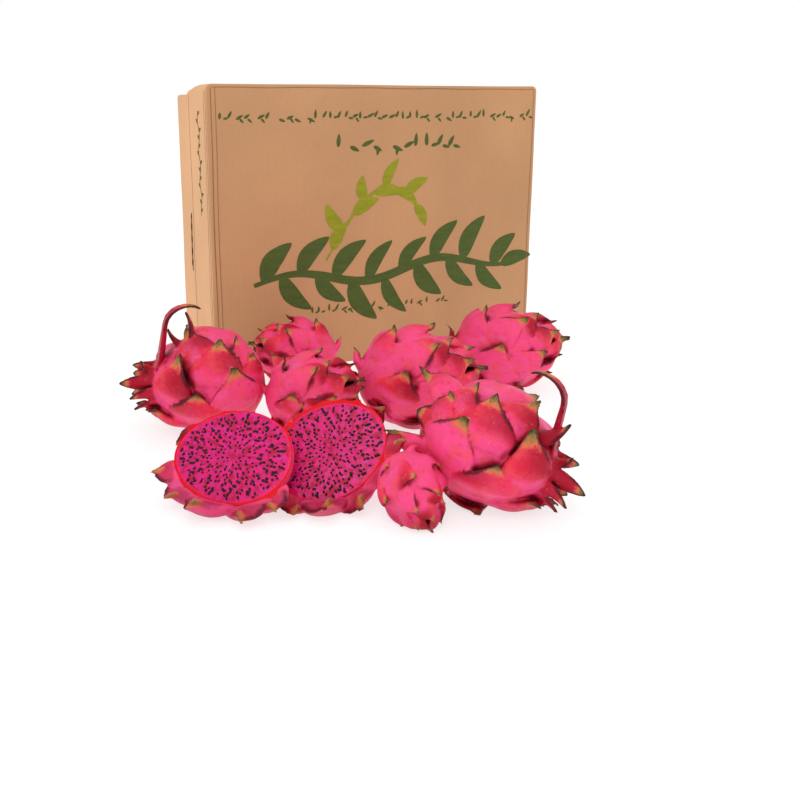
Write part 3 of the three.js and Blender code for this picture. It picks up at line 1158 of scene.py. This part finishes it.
def sphere_pattern(name: str, around: int, along: int) -> bpy.types.Mesh:
    """Makes a unit ball for stamping.

    Args:
        name: the mesh's name.
        around, along: how many faces it has around and along its axis.

    Returns:
        The ball.
    """
    bm = bmesh.new()
    bmesh.ops.create_uvsphere(bm, u_segments=around, v_segments=along, radius=1.0)
    mesh = bpy.data.meshes.new(name)
    bm.to_mesh(mesh)
    bm.free()
    return mesh


def evaluated(source: bpy.types.Object) -> bpy.types.Mesh:
    """Returns a new mesh with the object's modifiers applied."""
    graph = bpy.context.evaluated_depsgraph_get()
    return bpy.data.meshes.new_from_object(source.evaluated_get(graph))


def write_marks(mesh: bpy.types.Mesh, name: str, values: np.ndarray) -> None:
    """Stores one number or one vector at each point of a mesh.

    Args:
        mesh: the mesh.
        name: what the materials call the values.
        values: a row for each point.
    """
    is_vector = values.ndim == 2
    made = mesh.attributes.new(name, "FLOAT_VECTOR" if is_vector else "FLOAT", "POINT")
    made.data.foreach_set("vector" if is_vector else "value", values.astype(np.float32).ravel())


def to_row_frame(piece: bpy.types.Object, origin: Vector) -> None:
    """Turns a piece from millimetres in the carton's frame into metres in the row frame."""
    piece.data.transform(Matrix.Translation(origin) @ Matrix.Scale(MM, 4))
    piece.data.update()


def shade(piece: bpy.types.Object, sharp_angle: Optional[float] = None) -> None:
    """Shades a piece smooth.

    Args:
        piece: the piece.
        sharp_angle: edges sharper than this stay sharp, degrees.
    """
    piece.data.shade_smooth()
    if sharp_angle is not None:
        piece.data.set_sharp_from_angle(angle=math.radians(sharp_angle))


def finished(piece: bpy.types.Object, finishes: Iterable[bpy.types.Material],
             node: Optional[str] = None) -> bpy.types.Object:
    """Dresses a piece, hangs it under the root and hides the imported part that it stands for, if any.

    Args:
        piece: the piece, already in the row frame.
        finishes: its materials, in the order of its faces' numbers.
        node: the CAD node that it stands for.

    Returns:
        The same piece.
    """
    for material in finishes:
        piece.data.materials.append(material)
    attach(piece, "root")
    if node is not None:
        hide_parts(node)
    log.info("%s: %d faces", piece.name, len(piece.data.polygons))
    return piece


# ---- fruit --------------------------------------------------------------------------------------
@dataclass
class WholeFruit:
    """A whole dragon fruit.

    Args:
        name: the CAD node that it stands for.
        at: its middle on the floor.
        radius, half: half its thickness and half its length.
        crown: its crown's direction as right, back and up in the row.
        bracts: its scales.
        mirror: whether its scales run the other way round.
        seed: start of its random draws.
        nests_behind: name of the fruit that it nests behind.
    """

    name: str
    at: tuple[float, float]
    radius: float
    half: float
    crown: tuple[float, float, float]
    bracts: tuple[Bract, ...]
    mirror: bool = True
    seed: int = 1
    nests_behind: str = ""

    def form(self) -> FruitForm:
        """Works out its shape and place.

        Returns:
            The form that its skin grows on.
        """
        crown = row_vector(*self.crown)
        front = row_vector(0, -1, 0)
        facing = (front - crown * front.dot(crown)).normalized()
        axes = Matrix((facing, crown.cross(facing), crown)).transposed()
        centre = Vector((*self.at, self.radius))
        return FruitForm(self.radius, self.half, axes, centre, self.mirror, 0.0, self.seed)

    def build(self, origin: Vector, finish: bpy.types.Material,
              neighbour: Optional[FruitForm]) -> bpy.types.Object:
        """Builds the fruit.

        Args:
            origin: the carton frame's origin in the row frame.
            finish: the skin's material.
            neighbour: the form that it nests behind.

        Returns:
            The finished piece.
        """
        piece = ScaleyBody(self.form(), self.bracts, neighbour).grown(self.name + "_skin")
        set_down([piece])
        to_row_frame(piece, origin)
        shade(piece)
        return finished(piece, [finish], self.name)


def set_down(pieces: Sequence[bpy.types.Object]) -> None:
    """Lowers or lifts pieces together until the first of them stands on the floor.

    Args:
        pieces: the pieces.
    """
    lowest = min(vert.co.z for vert in pieces[0].data.vertices)
    for piece in pieces:
        piece.data.transform(Matrix.Translation((0, 0, -lowest)))


@dataclass
class HalfFruit:
    """Half a dragon fruit, cut along its core.

    Args:
        name: the CAD node that it stands for.
        at: its middle on the floor.
        radius, half: half the fruit's thickness and half its length.
        face: the way that the cut looks, as right, back and up in the row.
        lean: turn of the core in the cut, degrees.
        seed: start of its random draws.
        roll: turn of the scales around the core, degrees.
        skirt: scales that stand out past the cut.
        nests_behind: name of the half that it nests behind.
    """

    name: str
    at: tuple[float, float]
    radius: float
    half: float
    face: tuple[float, float, float]
    lean: float
    seed: int
    roll: float
    skirt: tuple[Bract, ...]
    nests_behind: str = ""

    PEEL = 2.5
    RIPENESS = 0.9
    CROWN_END = 40
    OFF_CENTRE = 0.8
    DOME = 0.9
    BED = 3.0
    SEEDS = 330
    SEED_SIZE = (1.45, 1.0, 0.65)
    # Seeds lie between these shares of the way to the peel, loosened by up to a share and an angle.
    SEED_FIELD = (0.09, 0.95)
    SEED_REACH = 0.93
    SEED_JITTER = (0.03, 0.12)
    SEED_SINK = 0.05

    def form(self) -> FruitForm:
        """Works out its shape and place.

        Returns:
            The form that its skin grows on.
        """
        face = row_vector(*self.face)
        level = UP.cross(face).normalized()
        crown = -(Matrix.Rotation(math.radians(self.lean), 3, face) @ level)
        axes = Matrix((face, crown.cross(face), crown)).transposed()
        centre = Vector((*self.at, self.radius))
        return FruitForm(self.radius, self.half, axes, centre, False, self.roll, self.seed)

    def peel(self, form: FruitForm, neighbour: Optional[FruitForm]) -> bpy.types.Object:
        """Grows the skin behind the cut and closes it with the cut peel.

        Args:
            form: the half's shape and place.
            neighbour: the form that it nests behind, if any.

        Returns:
            The peel, with its cut as its second finish.
        """
        hugging = [bract for bract in SHORT_CROWN if bract.polar > self.CROWN_END]
        whole = ScaleyBody(form, hugging, neighbour, ripeness=self.RIPENESS).grown(self.name + "_peel")
        face = form.axes @ Vector((1, 0, 0))
        bm = bmesh.new()
        bm.from_mesh(whole.data)
        bmesh.ops.bisect_plane(
            bm, geom=bm.verts[:] + bm.edges[:] + bm.faces[:], plane_co=form.centre, plane_no=face,
            clear_outer=True,
        )
        border = [edge for edge in bm.edges if edge.is_boundary]
        capped = bmesh.ops.holes_fill(bm, edges=border, sides=0)["faces"]
        for cut in bmesh.ops.triangulate(bm, faces=capped)["faces"]:
            cut.material_index = 1
        bmesh.ops.recalc_face_normals(bm, faces=bm.faces)
        bm.to_mesh(whole.data)
        bm.free()
        return whole

    def inner(self, form: FruitForm, share: float, theta: float) -> Vector:
        """Finds a point of the cut.

        Args:
            form: the half's shape and place.
            share: how far it is from the core to the peel, 0 to 1.
            theta: its angle from the crown.

        Returns:
            The point in the fruit's own frame.
        """
        waist = (form.radius * (1 - form.EGG * math.cos(theta)) - self.PEEL) * math.sin(theta)
        along = (form.half - self.PEEL) * math.cos(theta)
        return Vector((0, waist * share + self.OFF_CENTRE, along * share))

    def flesh(self, form: FruitForm) -> bpy.types.Object:
        """Makes the moist flesh, a low cushion that fills the peel.

        Args:
            form: the half's shape and place.

        Returns:
            The flesh.
        """
        bm = bmesh.new()
        bmesh.ops.create_uvsphere(bm, u_segments=160, v_segments=64, radius=1.0)
        fans, reaches = [], []
        for vert in bm.verts:
            share = min(1.0, math.hypot(vert.co.x, vert.co.y))
            theta = math.atan2(vert.co.x, vert.co.y)
            height = vert.co.z * (self.DOME if vert.co.z > 0 else self.BED)
            wave = noise.noise(Vector((math.cos(theta) * 3, math.sin(theta) * 3, share * 4))) * 0.25
            point = self.inner(form, share * (1 + 0.012 * wave), theta)
            point.x += height + wave * max(0, vert.co.z)
            fans.append(Vector((math.cos(theta) * 11, math.sin(theta) * 11, share * 3.2)))
            reaches.append(share)
            vert.co = form.axes @ point + form.centre
        bmesh.ops.recalc_face_normals(bm, faces=bm.faces)
        piece = linked(bm, self.name + "_flesh")
        write_marks(piece.data, "fan", np.array(fans))
        write_marks(piece.data, "reach", np.array(reaches))
        return piece

    def seeds(self, form: FruitForm) -> bpy.types.Object:
        """Makes the seeds, pressed into the flesh in loose rays around the core.

        Args:
            form: the half's shape and place.

        Returns:
            All the seeds as one piece.
        """
        draw = random.Random(self.seed + 50)
        bm = bmesh.new()
        golden = math.pi * (3 - math.sqrt(5))
        pattern = sphere_pattern("seed_pattern", 8, 5)
        loose, swing = self.SEED_JITTER
        for number in range(self.SEEDS):
            share = math.sqrt((number + 0.6) / self.SEEDS) * self.SEED_REACH + draw.uniform(-loose, loose)
            theta = number * golden + draw.uniform(-swing, swing)
            if not self.SEED_FIELD[0] <= share <= self.SEED_FIELD[1]:
                continue
            spot = self.inner(form, share, theta)
            height = self.DOME * math.sqrt(max(0.0, 1 - share * share))
            size = draw.uniform(0.75, 1.15) * (0.8 + 0.3 * share)
            ray = math.atan2(spot.y, spot.z) + draw.gauss(0, 0.5)
            turn = Matrix((
                (0, 0, 1), (math.sin(ray), math.cos(ray), 0), (math.cos(ray), -math.sin(ray), 0),
            ))
            for vert in stamp(bm, pattern):
                local = Vector(c * s * size for c, s in zip(vert.co, self.SEED_SIZE))
                local.y *= 1 - 0.25 * vert.co.x
                local = turn @ local + spot + Vector((height - self.SEED_SINK, 0, 0))
                vert.co = form.axes @ local + form.centre
        bmesh.ops.recalc_face_normals(bm, faces=bm.faces)
        return linked(bm, self.name + "_seeds")

    def build(self, origin: Vector, finishes: dict[str, bpy.types.Material],
              neighbour: Optional[FruitForm]) -> None:
        """Builds the peel, the flesh and the seeds of the half.

        Args:
            origin: the carton frame's origin in the row frame.
            finishes: the materials by name.
            neighbour: the form that it nests behind.
        """
        form = self.form()
        skirt = ScaleyBody(form, self.skirt, neighbour, False, self.RIPENESS).grown(self.name + "_skirt")
        pieces = [self.peel(form, neighbour), self.flesh(form), self.seeds(form), skirt]
        set_down(pieces)
        skin = [finishes["skin"], finishes["cut_peel"]]
        dressed = (skin, [finishes["flesh"]], [finishes["seed"]], skin[:1])
        slots = (Slot.SKIN, Slot.FLESH, Slot.FLESH, Slot.SKIN)
        for piece, materials, slot in zip(pieces, dressed, slots):
            to_row_frame(piece, origin)
            shade(piece, 40 if piece is pieces[0] else None)
            finished(piece, materials, self.name)


# ---- carton -------------------------------------------------------------------------------------
class InkMarks:
    """Collects printed marks on one flat panel.

    Args:
        name: the finished object's name.
        spread: turns a point of the panel (along, up, height off the board) into the carton's frame.
    """

    THICKNESS = 0.12

    def __init__(self, name: str, spread: Callable[[float, float, float], Vector]) -> None:
        """Starts with no marks."""
        self.name = name
        self.spread = spread
        self.bm = bmesh.new()

    def close(self, faces: Sequence[bmesh.types.BMFace]) -> None:
        """Gives flat faces their thickness.

        Args:
            faces: the faces.
        """
        made = bmesh.ops.extrude_face_region(self.bm, geom=list(faces))["geom"]
        for vert in (item for item in made if isinstance(item, bmesh.types.BMVert)):
            vert.co.z += self.THICKNESS

    def leaf(self, base: tuple[float, float], angle: float, length: float, width: float,
             bend: float = 0.0) -> None:
        """Adds a leaf.

        Args:
            base: where it starts on the panel.
            angle: its direction in degrees.
            length, width: its size.
            bend: sideways curve of its middle line, as a share of its length.
        """
        made = bmesh.ops.create_circle(self.bm, cap_ends=True, segments=28, radius=1.0)["verts"]
        turn = Matrix.Rotation(math.radians(angle), 2)
        for vert in made:
            t = (1 + vert.co.x) / 2
            side = math.copysign(abs(vert.co.y) ** 1.3, vert.co.y) * (1.15 - 0.5 * t)
            ragged = 1 + 0.05 * noise.noise(Vector((t * 6 + base[0], side * 2, base[1])))
            along = t * length
            across = side * width / 2 * ragged + bend * length * math.sin(math.pi * t)
            spot = turn @ Vector((along, across))
            vert.co = Vector((base[0] + spot.x, base[1] + spot.y, 0))
        self.close(list({face for vert in made for face in vert.link_faces}))

    def stroke(self, path: Callable[[float], tuple[float, float]], width: float, steps: int = 40,
               taper: float = 0.6) -> None:
        """Adds a brush stroke.

        Args:
            path: gives a point of the panel for 0 to 1 along the stroke.
            width: the stroke's full width in its middle.
            steps: how many pieces it is made of.
            taper: how much thinner its ends are.
        """
        made = bmesh.ops.create_grid(self.bm, x_segments=steps, y_segments=1, size=1.0)["verts"]
        for vert in made:
            t = (1 + vert.co.x) / 2
            here, ahead = Vector(path(t)), Vector(path(t + 0.001))
            along = (ahead - here).normalized()
            fade = 1 - taper * abs(2 * t - 1) ** 2
            swell = 1 + 0.12 * noise.noise(Vector((t * 9, width, vert.co.y)))
            across = Vector((-along.y, along.x)) * (vert.co.y * width / 2 * fade * swell)
            vert.co = Vector((here.x + across.x, here.y + across.y, 0))
        self.close(list({face for vert in made for face in vert.link_faces}))

    def finish(self) -> bpy.types.Object:
        """Puts the marks on the carton.

        Returns:
            The marks as one object in the carton's frame.
        """
        for vert in self.bm.verts:
            vert.co = self.spread(vert.co.x, vert.co.y, vert.co.z)
        bmesh.ops.recalc_face_normals(self.bm, faces=self.bm.faces)
        return linked(self.bm, self.name)


@dataclass
class Carton:
    """Closed carton: a lid slid over a tray, with a printed front.

    Args:
        origin: the lid's front, left, bottom corner in the row frame.
        width, depth, height: the outside of the closed carton.
        skirt: how deep the lid is.
        sag: how far the top gives way behind the lid's front.
        wobble: how far the board strays from flat.
        ink_gap: distance from the board to the print.
    """

    origin: Vector
    width: float = 420.0
    depth: float = 179.0
    height: float = 329.0
    skirt: float = 100.0
    sag: float = 5.0
    wobble: float = 0.7
    ink_gap: float = 0.15

    front: Colour = srgb(190, 143, 102)
    side: Colour = srgb(222, 171, 127)

    # Noise vectors start from the time of day unless a seed is set, so this keeps the board's waves the same.
    WAVE_SEED = 4
    # Millimetres: the bent board's faces, the tray's rim, the front's depth, and the hand slots' place as
    # depth and height.
    FACE_SIZE = 22
    TRAY_EDGE = 4.8
    FRONT_REACH = 6
    SLOT_MIDDLE = (119, 140)
    SLOT_REACH = (12, 39)

    def settled(self, point: Vector) -> Vector:
        """Sags and bends the board a little.

        Args:
            point: a point of the ideal carton.

        Returns:
            The same point of the used carton.
        """
        x, y, z = point
        high = smoothstep(self.height - 60, self.height - 8, z)
        drop = self.sag * smoothstep(0.28 * self.depth, 0.6 * self.depth, y) * high
        shift = noise.noise_vector(Vector((x, y, z)) / 95.0) * self.wobble
        shift.z *= smoothstep(2, 30, z)
        return Vector((x, y, z - drop)) + shift

    def shell(self, node: str, name: str, cut_at: float) -> bpy.types.Object:
        """Returns one half of the carton.

        Args:
            node: the CAD node whose board it follows.
            name: the new piece's name.
            cut_at: depth at which the board's cut edge shows.

        Returns:
            The shell in the carton's frame, with faces numbered front, side and cut edge.
        """
        bm = bmesh.new()
        bm.from_mesh(bpy.data.objects[node].data)
        bm.transform(Matrix.Scale(1 / MM, 4) @ Matrix.Translation(-self.origin))
        bmesh.ops.remove_doubles(bm, verts=bm.verts, dist=0.01)
        bmesh.ops.dissolve_limit(bm, angle_limit=math.radians(1), verts=bm.verts, edges=bm.edges)
        for axis, size in enumerate((self.width, self.depth, self.height)):
            count = max(3, round(size / self.FACE_SIZE))
            plane = Vector(1.0 if i == axis else 0.0 for i in range(3))
            for step in range(1, count):
                everything = bm.verts[:] + bm.edges[:] + bm.faces[:]
                spot = plane * (size * step / count)
                bmesh.ops.bisect_plane(bm, geom=everything, plane_co=spot, plane_no=plane)
        for face in bm.faces:
            middle = face.calc_center_median()
            is_cut = face.normal.y > 0.9 and abs(middle.y - cut_at) < 1
            is_front = face.normal.y < -0.7 and middle.y < self.FRONT_REACH
            near_slot = all(
                abs(place - slot) < reach
                for place, slot, reach in zip(middle.yz, self.SLOT_MIDDLE, self.SLOT_REACH)
            )
            in_slot = near_slot and abs(face.normal.x) < 0.3
            face.material_index = 2 if is_cut or in_slot else 0 if is_front else 1
        for vert in bm.verts:
            vert.co = self.settled(vert.co)
        return linked(bm, name)

    def on_front(self, along: float, up: float, lift: float) -> Vector:
        """Returns the place of a print point on the front panel."""
        return self.settled(Vector((along, -self.ink_gap - lift, up)))

    def on_end(self, along: float, up: float, lift: float) -> Vector:
        """Returns the place of a print point on the left end of the lid."""
        return self.settled(Vector((-self.ink_gap - lift, along, up)))

    def dark_print(self) -> bpy.types.Object:
        """Prints the dark green sprig and its rows of small marks.

        Returns:
            The print.
        """
        ink = InkMarks("lid_print_dark", self.on_front)
        draw = random.Random(11)

        def stem(t: float) -> tuple[float, float]:
            """Returns a point of the sprig's wavy stem."""
            return 48 + 330 * t, 104 + 12 * t + 9 * math.sin(t * 11)

        ink.stroke(stem, 11, steps=90, taper=0.55)
        # Leaves stand off the stem by turns above and below it, with one more at its end.
        for number in range(15):
            t = 0.03 + number * 0.066
            x, z = stem(t)
            up = number % 2 == 0
            angle = (52 if up else -48) + draw.uniform(-8, 8)
            ink.leaf((x, z), angle, draw.uniform(50, 62), draw.uniform(19, 25), 0.1 if up else -0.1)
        ink.leaf(stem(0.995), 12, 46, 20, 0.08)
        # Each row runs from one place to another at a height, in marks of one size.
        rows = ((14, 408, 292, 8), (152, 300, 259, 13), (118, 300, 66, 7))
        for low, high, z, size in rows:
            x = low
            while x < high:
                turn = draw.choice((28, 62, -24, 90)) + draw.uniform(-6, 6)
                ink.leaf((x, z + draw.uniform(-1, 1)), turn, size * draw.uniform(0.9, 1.3), size * 0.42)
                if draw.random() < 0.6:
                    ink.leaf((x + size * 0.5, z), turn - 75, size * 0.8, size * 0.34)
                x += size * (1.9 if draw.random() < 0.2 else 1.15)
        return ink.finish()

    def olive_print(self) -> bpy.types.Object:
        """Prints the olive spray behind the sprig.

        Returns:
            The print.
        """
        ink = InkMarks("lid_print_olive", self.on_front)
        draw = random.Random(5)

        def twig(t: float) -> tuple[float, float]:
            """Returns a point of the twig that carries the olive leaves."""
            return 136 + 126 * t, 128 + 82 * math.sin(t * 2.5)

        ink.stroke(twig, 4, steps=50, taper=0.5)
        for number in range(9):
            x, z = twig(0.06 + number * 0.108)
            lean = 100 - number * 15
            side = 38 if number % 2 else -42
            ink.leaf((x, z), lean + side, draw.uniform(30, 40), draw.uniform(13, 18), 0.08)
        return ink.finish()

    def end_print(self) -> bpy.types.Object:
        """Prints the little vine on the lid's left end.

        Returns:
            The print.
        """
        ink = InkMarks("lid_end_print", self.on_end)

        def vine(t: float) -> tuple[float, float]:
            """Returns a point of the vine."""
            return 42 + 3.5 * math.sin(t * 21), 300 - 118 * t

        ink.stroke(vine, 1.8, steps=70, taper=0.3)
        for number in range(13):
            y, z = vine(0.03 + number * 0.077)
            ink.leaf((y, z), 25 if number % 2 else 160, 9.5, 4.2)
        return ink.finish()

    def crease_lines(self) -> bpy.types.Object:
        """Draws the dark scored lines beside the lid's edges.

        Returns:
            The lines as one piece.
        """
        front = InkMarks("crease_front", self.on_front)
        for x, width in ((4.5, 0.9), (9.5, 0.6), (415.0, 0.7)):
            front.stroke(lambda t, x=x: (x + 0.5 * math.sin(t * 9), 3 + 322 * t), width, steps=60, taper=0.3)
        front.stroke(lambda t: (6 + 408 * t, 325.4 + 0.3 * math.sin(t * 31)), 0.7, steps=90, taper=0.3)
        end = InkMarks("crease_end", self.on_end)
        for y, width in ((5.0, 0.8), (12.0, 0.5), (90.0, 0.7)):
            end.stroke(lambda t, y=y: (y + 0.6 * math.sin(t * 7), 4 + 318 * t), width, steps=60, taper=0.3)
        pieces = [front.finish(), end.finish()]
        bm = bmesh.new()
        for piece in pieces:
            bm.from_mesh(piece.data)
            bpy.data.objects.remove(piece)
        return linked(bm, "lid_crease_lines")

    def build(self) -> None:
        """Builds both halves of the carton and everything printed on them."""
        noise.seed_set(self.WAVE_SEED)
        face, side = BoardFinish("kraft_front", self.front), BoardFinish("kraft_side", self.side, "Y")
        boards = [face.make(), side.make(), CutEdgeFinish("board_cut_edge", self.front).make()]
        for node, name, slot, cut_at in (
            ("carton_lid", "carton_lid_board", Slot.BOARD_FACE, self.skirt),
            ("carton_tray", "carton_tray_board", Slot.BOARD_SIDE, self.TRAY_EDGE),
        ):
            piece = self.shell(node, name, cut_at)
            to_row_frame(piece, self.origin)
            shade(piece, 25)
            finished(piece, boards, node)
        green = InkFinish("ink_dark_green", srgb(66, 82, 28), self.front, 0.2).make()
        olive = InkFinish("ink_olive", srgb(132, 134, 16), self.front, 0.35).make()
        pencil = InkFinish("score_line", srgb(128, 92, 56), self.front, 0.5).make()
        for piece, ink in (
            (self.dark_print(), green), (self.olive_print(), olive), (self.end_print(), green),
            (self.crease_lines(), pencil),
        ):
            to_row_frame(piece, self.origin)
            finished(piece, [ink])


# ---- studio -------------------------------------------------------------------------------------
@dataclass(frozen=True)
class Studio:
    """Pale floor, soft light and the camera.

    Args:
        eye: the camera's place in the row frame, millimetres.
        gaze: the direction that it looks in.
        lens, sensor: its focal length and film width.
        shift: how far the picture is slid sideways and up, in film widths.
    """

    eye: tuple[float, float, float] = (-362.3, -784.0, 307.3)
    gaze: tuple[float, float, float] = (0.3728, 0.9004, -0.2243)
    lens: float = 38.25
    sensor: float = 36.0
    shift: tuple[float, float] = (0.0625, -0.125)

    FLOOR_GREYS = (0.36, 0.39)
    FLOOR_GLOW = 0.68

    def floor(self) -> None:
        """Lays the pale floor."""
        bm = bmesh.new()
        bmesh.ops.create_grid(bm, x_segments=1, y_segments=1, size=12.0)
        plane = linked(bm, "studio_floor")
        shader = Shader("studio_floor")
        cloudy = shader.noise(shader.place(), 3.0, 2.0)
        darker, lighter = ((grey, grey, grey) for grey in self.FLOOR_GREYS)
        colour = shader.mix(cloudy, darker, lighter)
        plane.data.materials.append(shader.finish(
            Base_Color=colour, Roughness=0.9, Specular_IOR_Level=0.1, Emission_Color=(1.0, 1.0, 1.0, 1.0),
            Emission_Strength=self.FLOOR_GLOW,
        ))

    def lamp(self, name: str, place: Vector, target: Vector, size: float, power: float) -> None:
        """Hangs one soft square lamp.

        Args:
            name: the lamp's name.
            place: where it hangs, metres.
            target: what it looks at, metres.
            size: its side, metres.
            power: its power in watts.
        """
        data = bpy.data.lights.new(name, "AREA")
        data.size = size
        data.energy = power
        lamp = bpy.data.objects.new(name, data)
        lamp.location = place
        lamp.rotation_euler = (target - place).to_track_quat("-Z", "Y").to_euler()
        bpy.context.scene.collection.objects.link(lamp)

    def build(self) -> None:
        """Sets up the floor, the light and the camera."""
        scene = bpy.context.scene
        self.floor()
        world = bpy.data.worlds.new("studio_air")
        world.use_nodes = True
        sky = world.node_tree.nodes["Background"]
        sky.inputs[0].default_value = (1.0, 1.0, 1.0, 1.0)
        sky.inputs[1].default_value = 1.0
        scene.world = world
        middle = Vector((0, 0, 0.1))
        self.lamp("key", Vector((-0.9, -1.3, 1.6)), middle, 1.0, 7.0)
        self.lamp("fill", Vector((1.4, -1.0, 1.2)), middle, 1.5, 1.5)
        data = bpy.data.cameras.new("camera")
        data.lens, data.sensor_width = self.lens, self.sensor
        data.shift_x, data.shift_y = self.shift
        data.clip_start, data.clip_end = 0.01, 60.0
        camera = bpy.data.objects.new("camera", data)
        camera.location = Vector(self.eye) * MM
        camera.rotation_mode = "QUATERNION"
        camera.rotation_quaternion = Vector(self.gaze).to_track_quat("-Z", "Y")
        scene.collection.objects.link(camera)
        scene.camera = camera
        scene.view_settings.view_transform = "Standard"


@dataclass
class Harvest:
    """All the fruit in front of the carton."""

    whole: list[WholeFruit] = field(default_factory=lambda: [
        WholeFruit("fruit_left", (-44, -152), 48, 56, (-0.93, -0.28, 0.1), LONG_CROWN + LEFT_EXTRA,
                   False, 1),
        WholeFruit("fruit_back_left", (79, -66), 38, 42, (-0.93, -0.2, 0.3), SHORT_CROWN, False, 2),
        WholeFruit("fruit_centre", (43, -197), 38, 43, (0.86, -0.25, 0.35), SHORT_CROWN, True, 3),
        WholeFruit("fruit_centre_right", (144, -211), 47, 54, (0.95, -0.15, 0.2), SHORT_CROWN, True, 4),
        WholeFruit("fruit_back_right", (278, -161), 46, 54, (0.95, -0.15, 0.25), SHORT_CROWN, True, 5),
        WholeFruit("fruit_right", (124, -386), 46, 56, (0.86, -0.4, -0.26), LONG_CROWN + RIGHT_EXTRA,
                   True, 6, "fruit_small"),
        WholeFruit("fruit_small", (55, -390), 25, 29, (0.35, -0.6, -0.6), SHORT_CROWN, True, 7),
    ])
    halves: list[HalfFruit] = field(default_factory=lambda: [
        HalfFruit("half_left", (-63, -315), 39, 50, (-0.2, -0.74, 0.64), 3, 8, 10, LEFT_SKIRT),
        HalfFruit("half_right", (12, -332), 40, 49, (-0.16, -0.78, 0.6), 215, 9, 190, RIGHT_SKIRT,
                  "half_left"),
    ])

    def build(self, origin: Vector) -> None:
        """Builds every fruit.

        Args:
            origin: the carton frame's origin in the row frame.
        """
        forms = {fruit.name: fruit.form() for fruit in [*self.whole, *self.halves]}
        finishes = {
            "skin": SkinFinish("dragon_fruit_skin").make(),
            "cut_peel": CutPeelFinish("cut_peel").make(),
            "flesh": FleshFinish("magenta_flesh").make(),
            "seed": SeedFinish("black_seed").make(),
        }
        for fruit in self.whole:
            fruit.build(origin, finishes["skin"], forms.get(fruit.nests_behind))
        for half in self.halves:
            half.build(origin, finishes, forms.get(half.nests_behind))


def main() -> None:
    """Builds the carton, the fruit and the studio."""
    logging.basicConfig(level=logging.INFO, format="%(name)s %(message)s")
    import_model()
    origin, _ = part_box("carton_lid")
    Carton(origin).build()
    Harvest().build(origin)
    Studio().build()


if __name__ == "__main__":
    main()
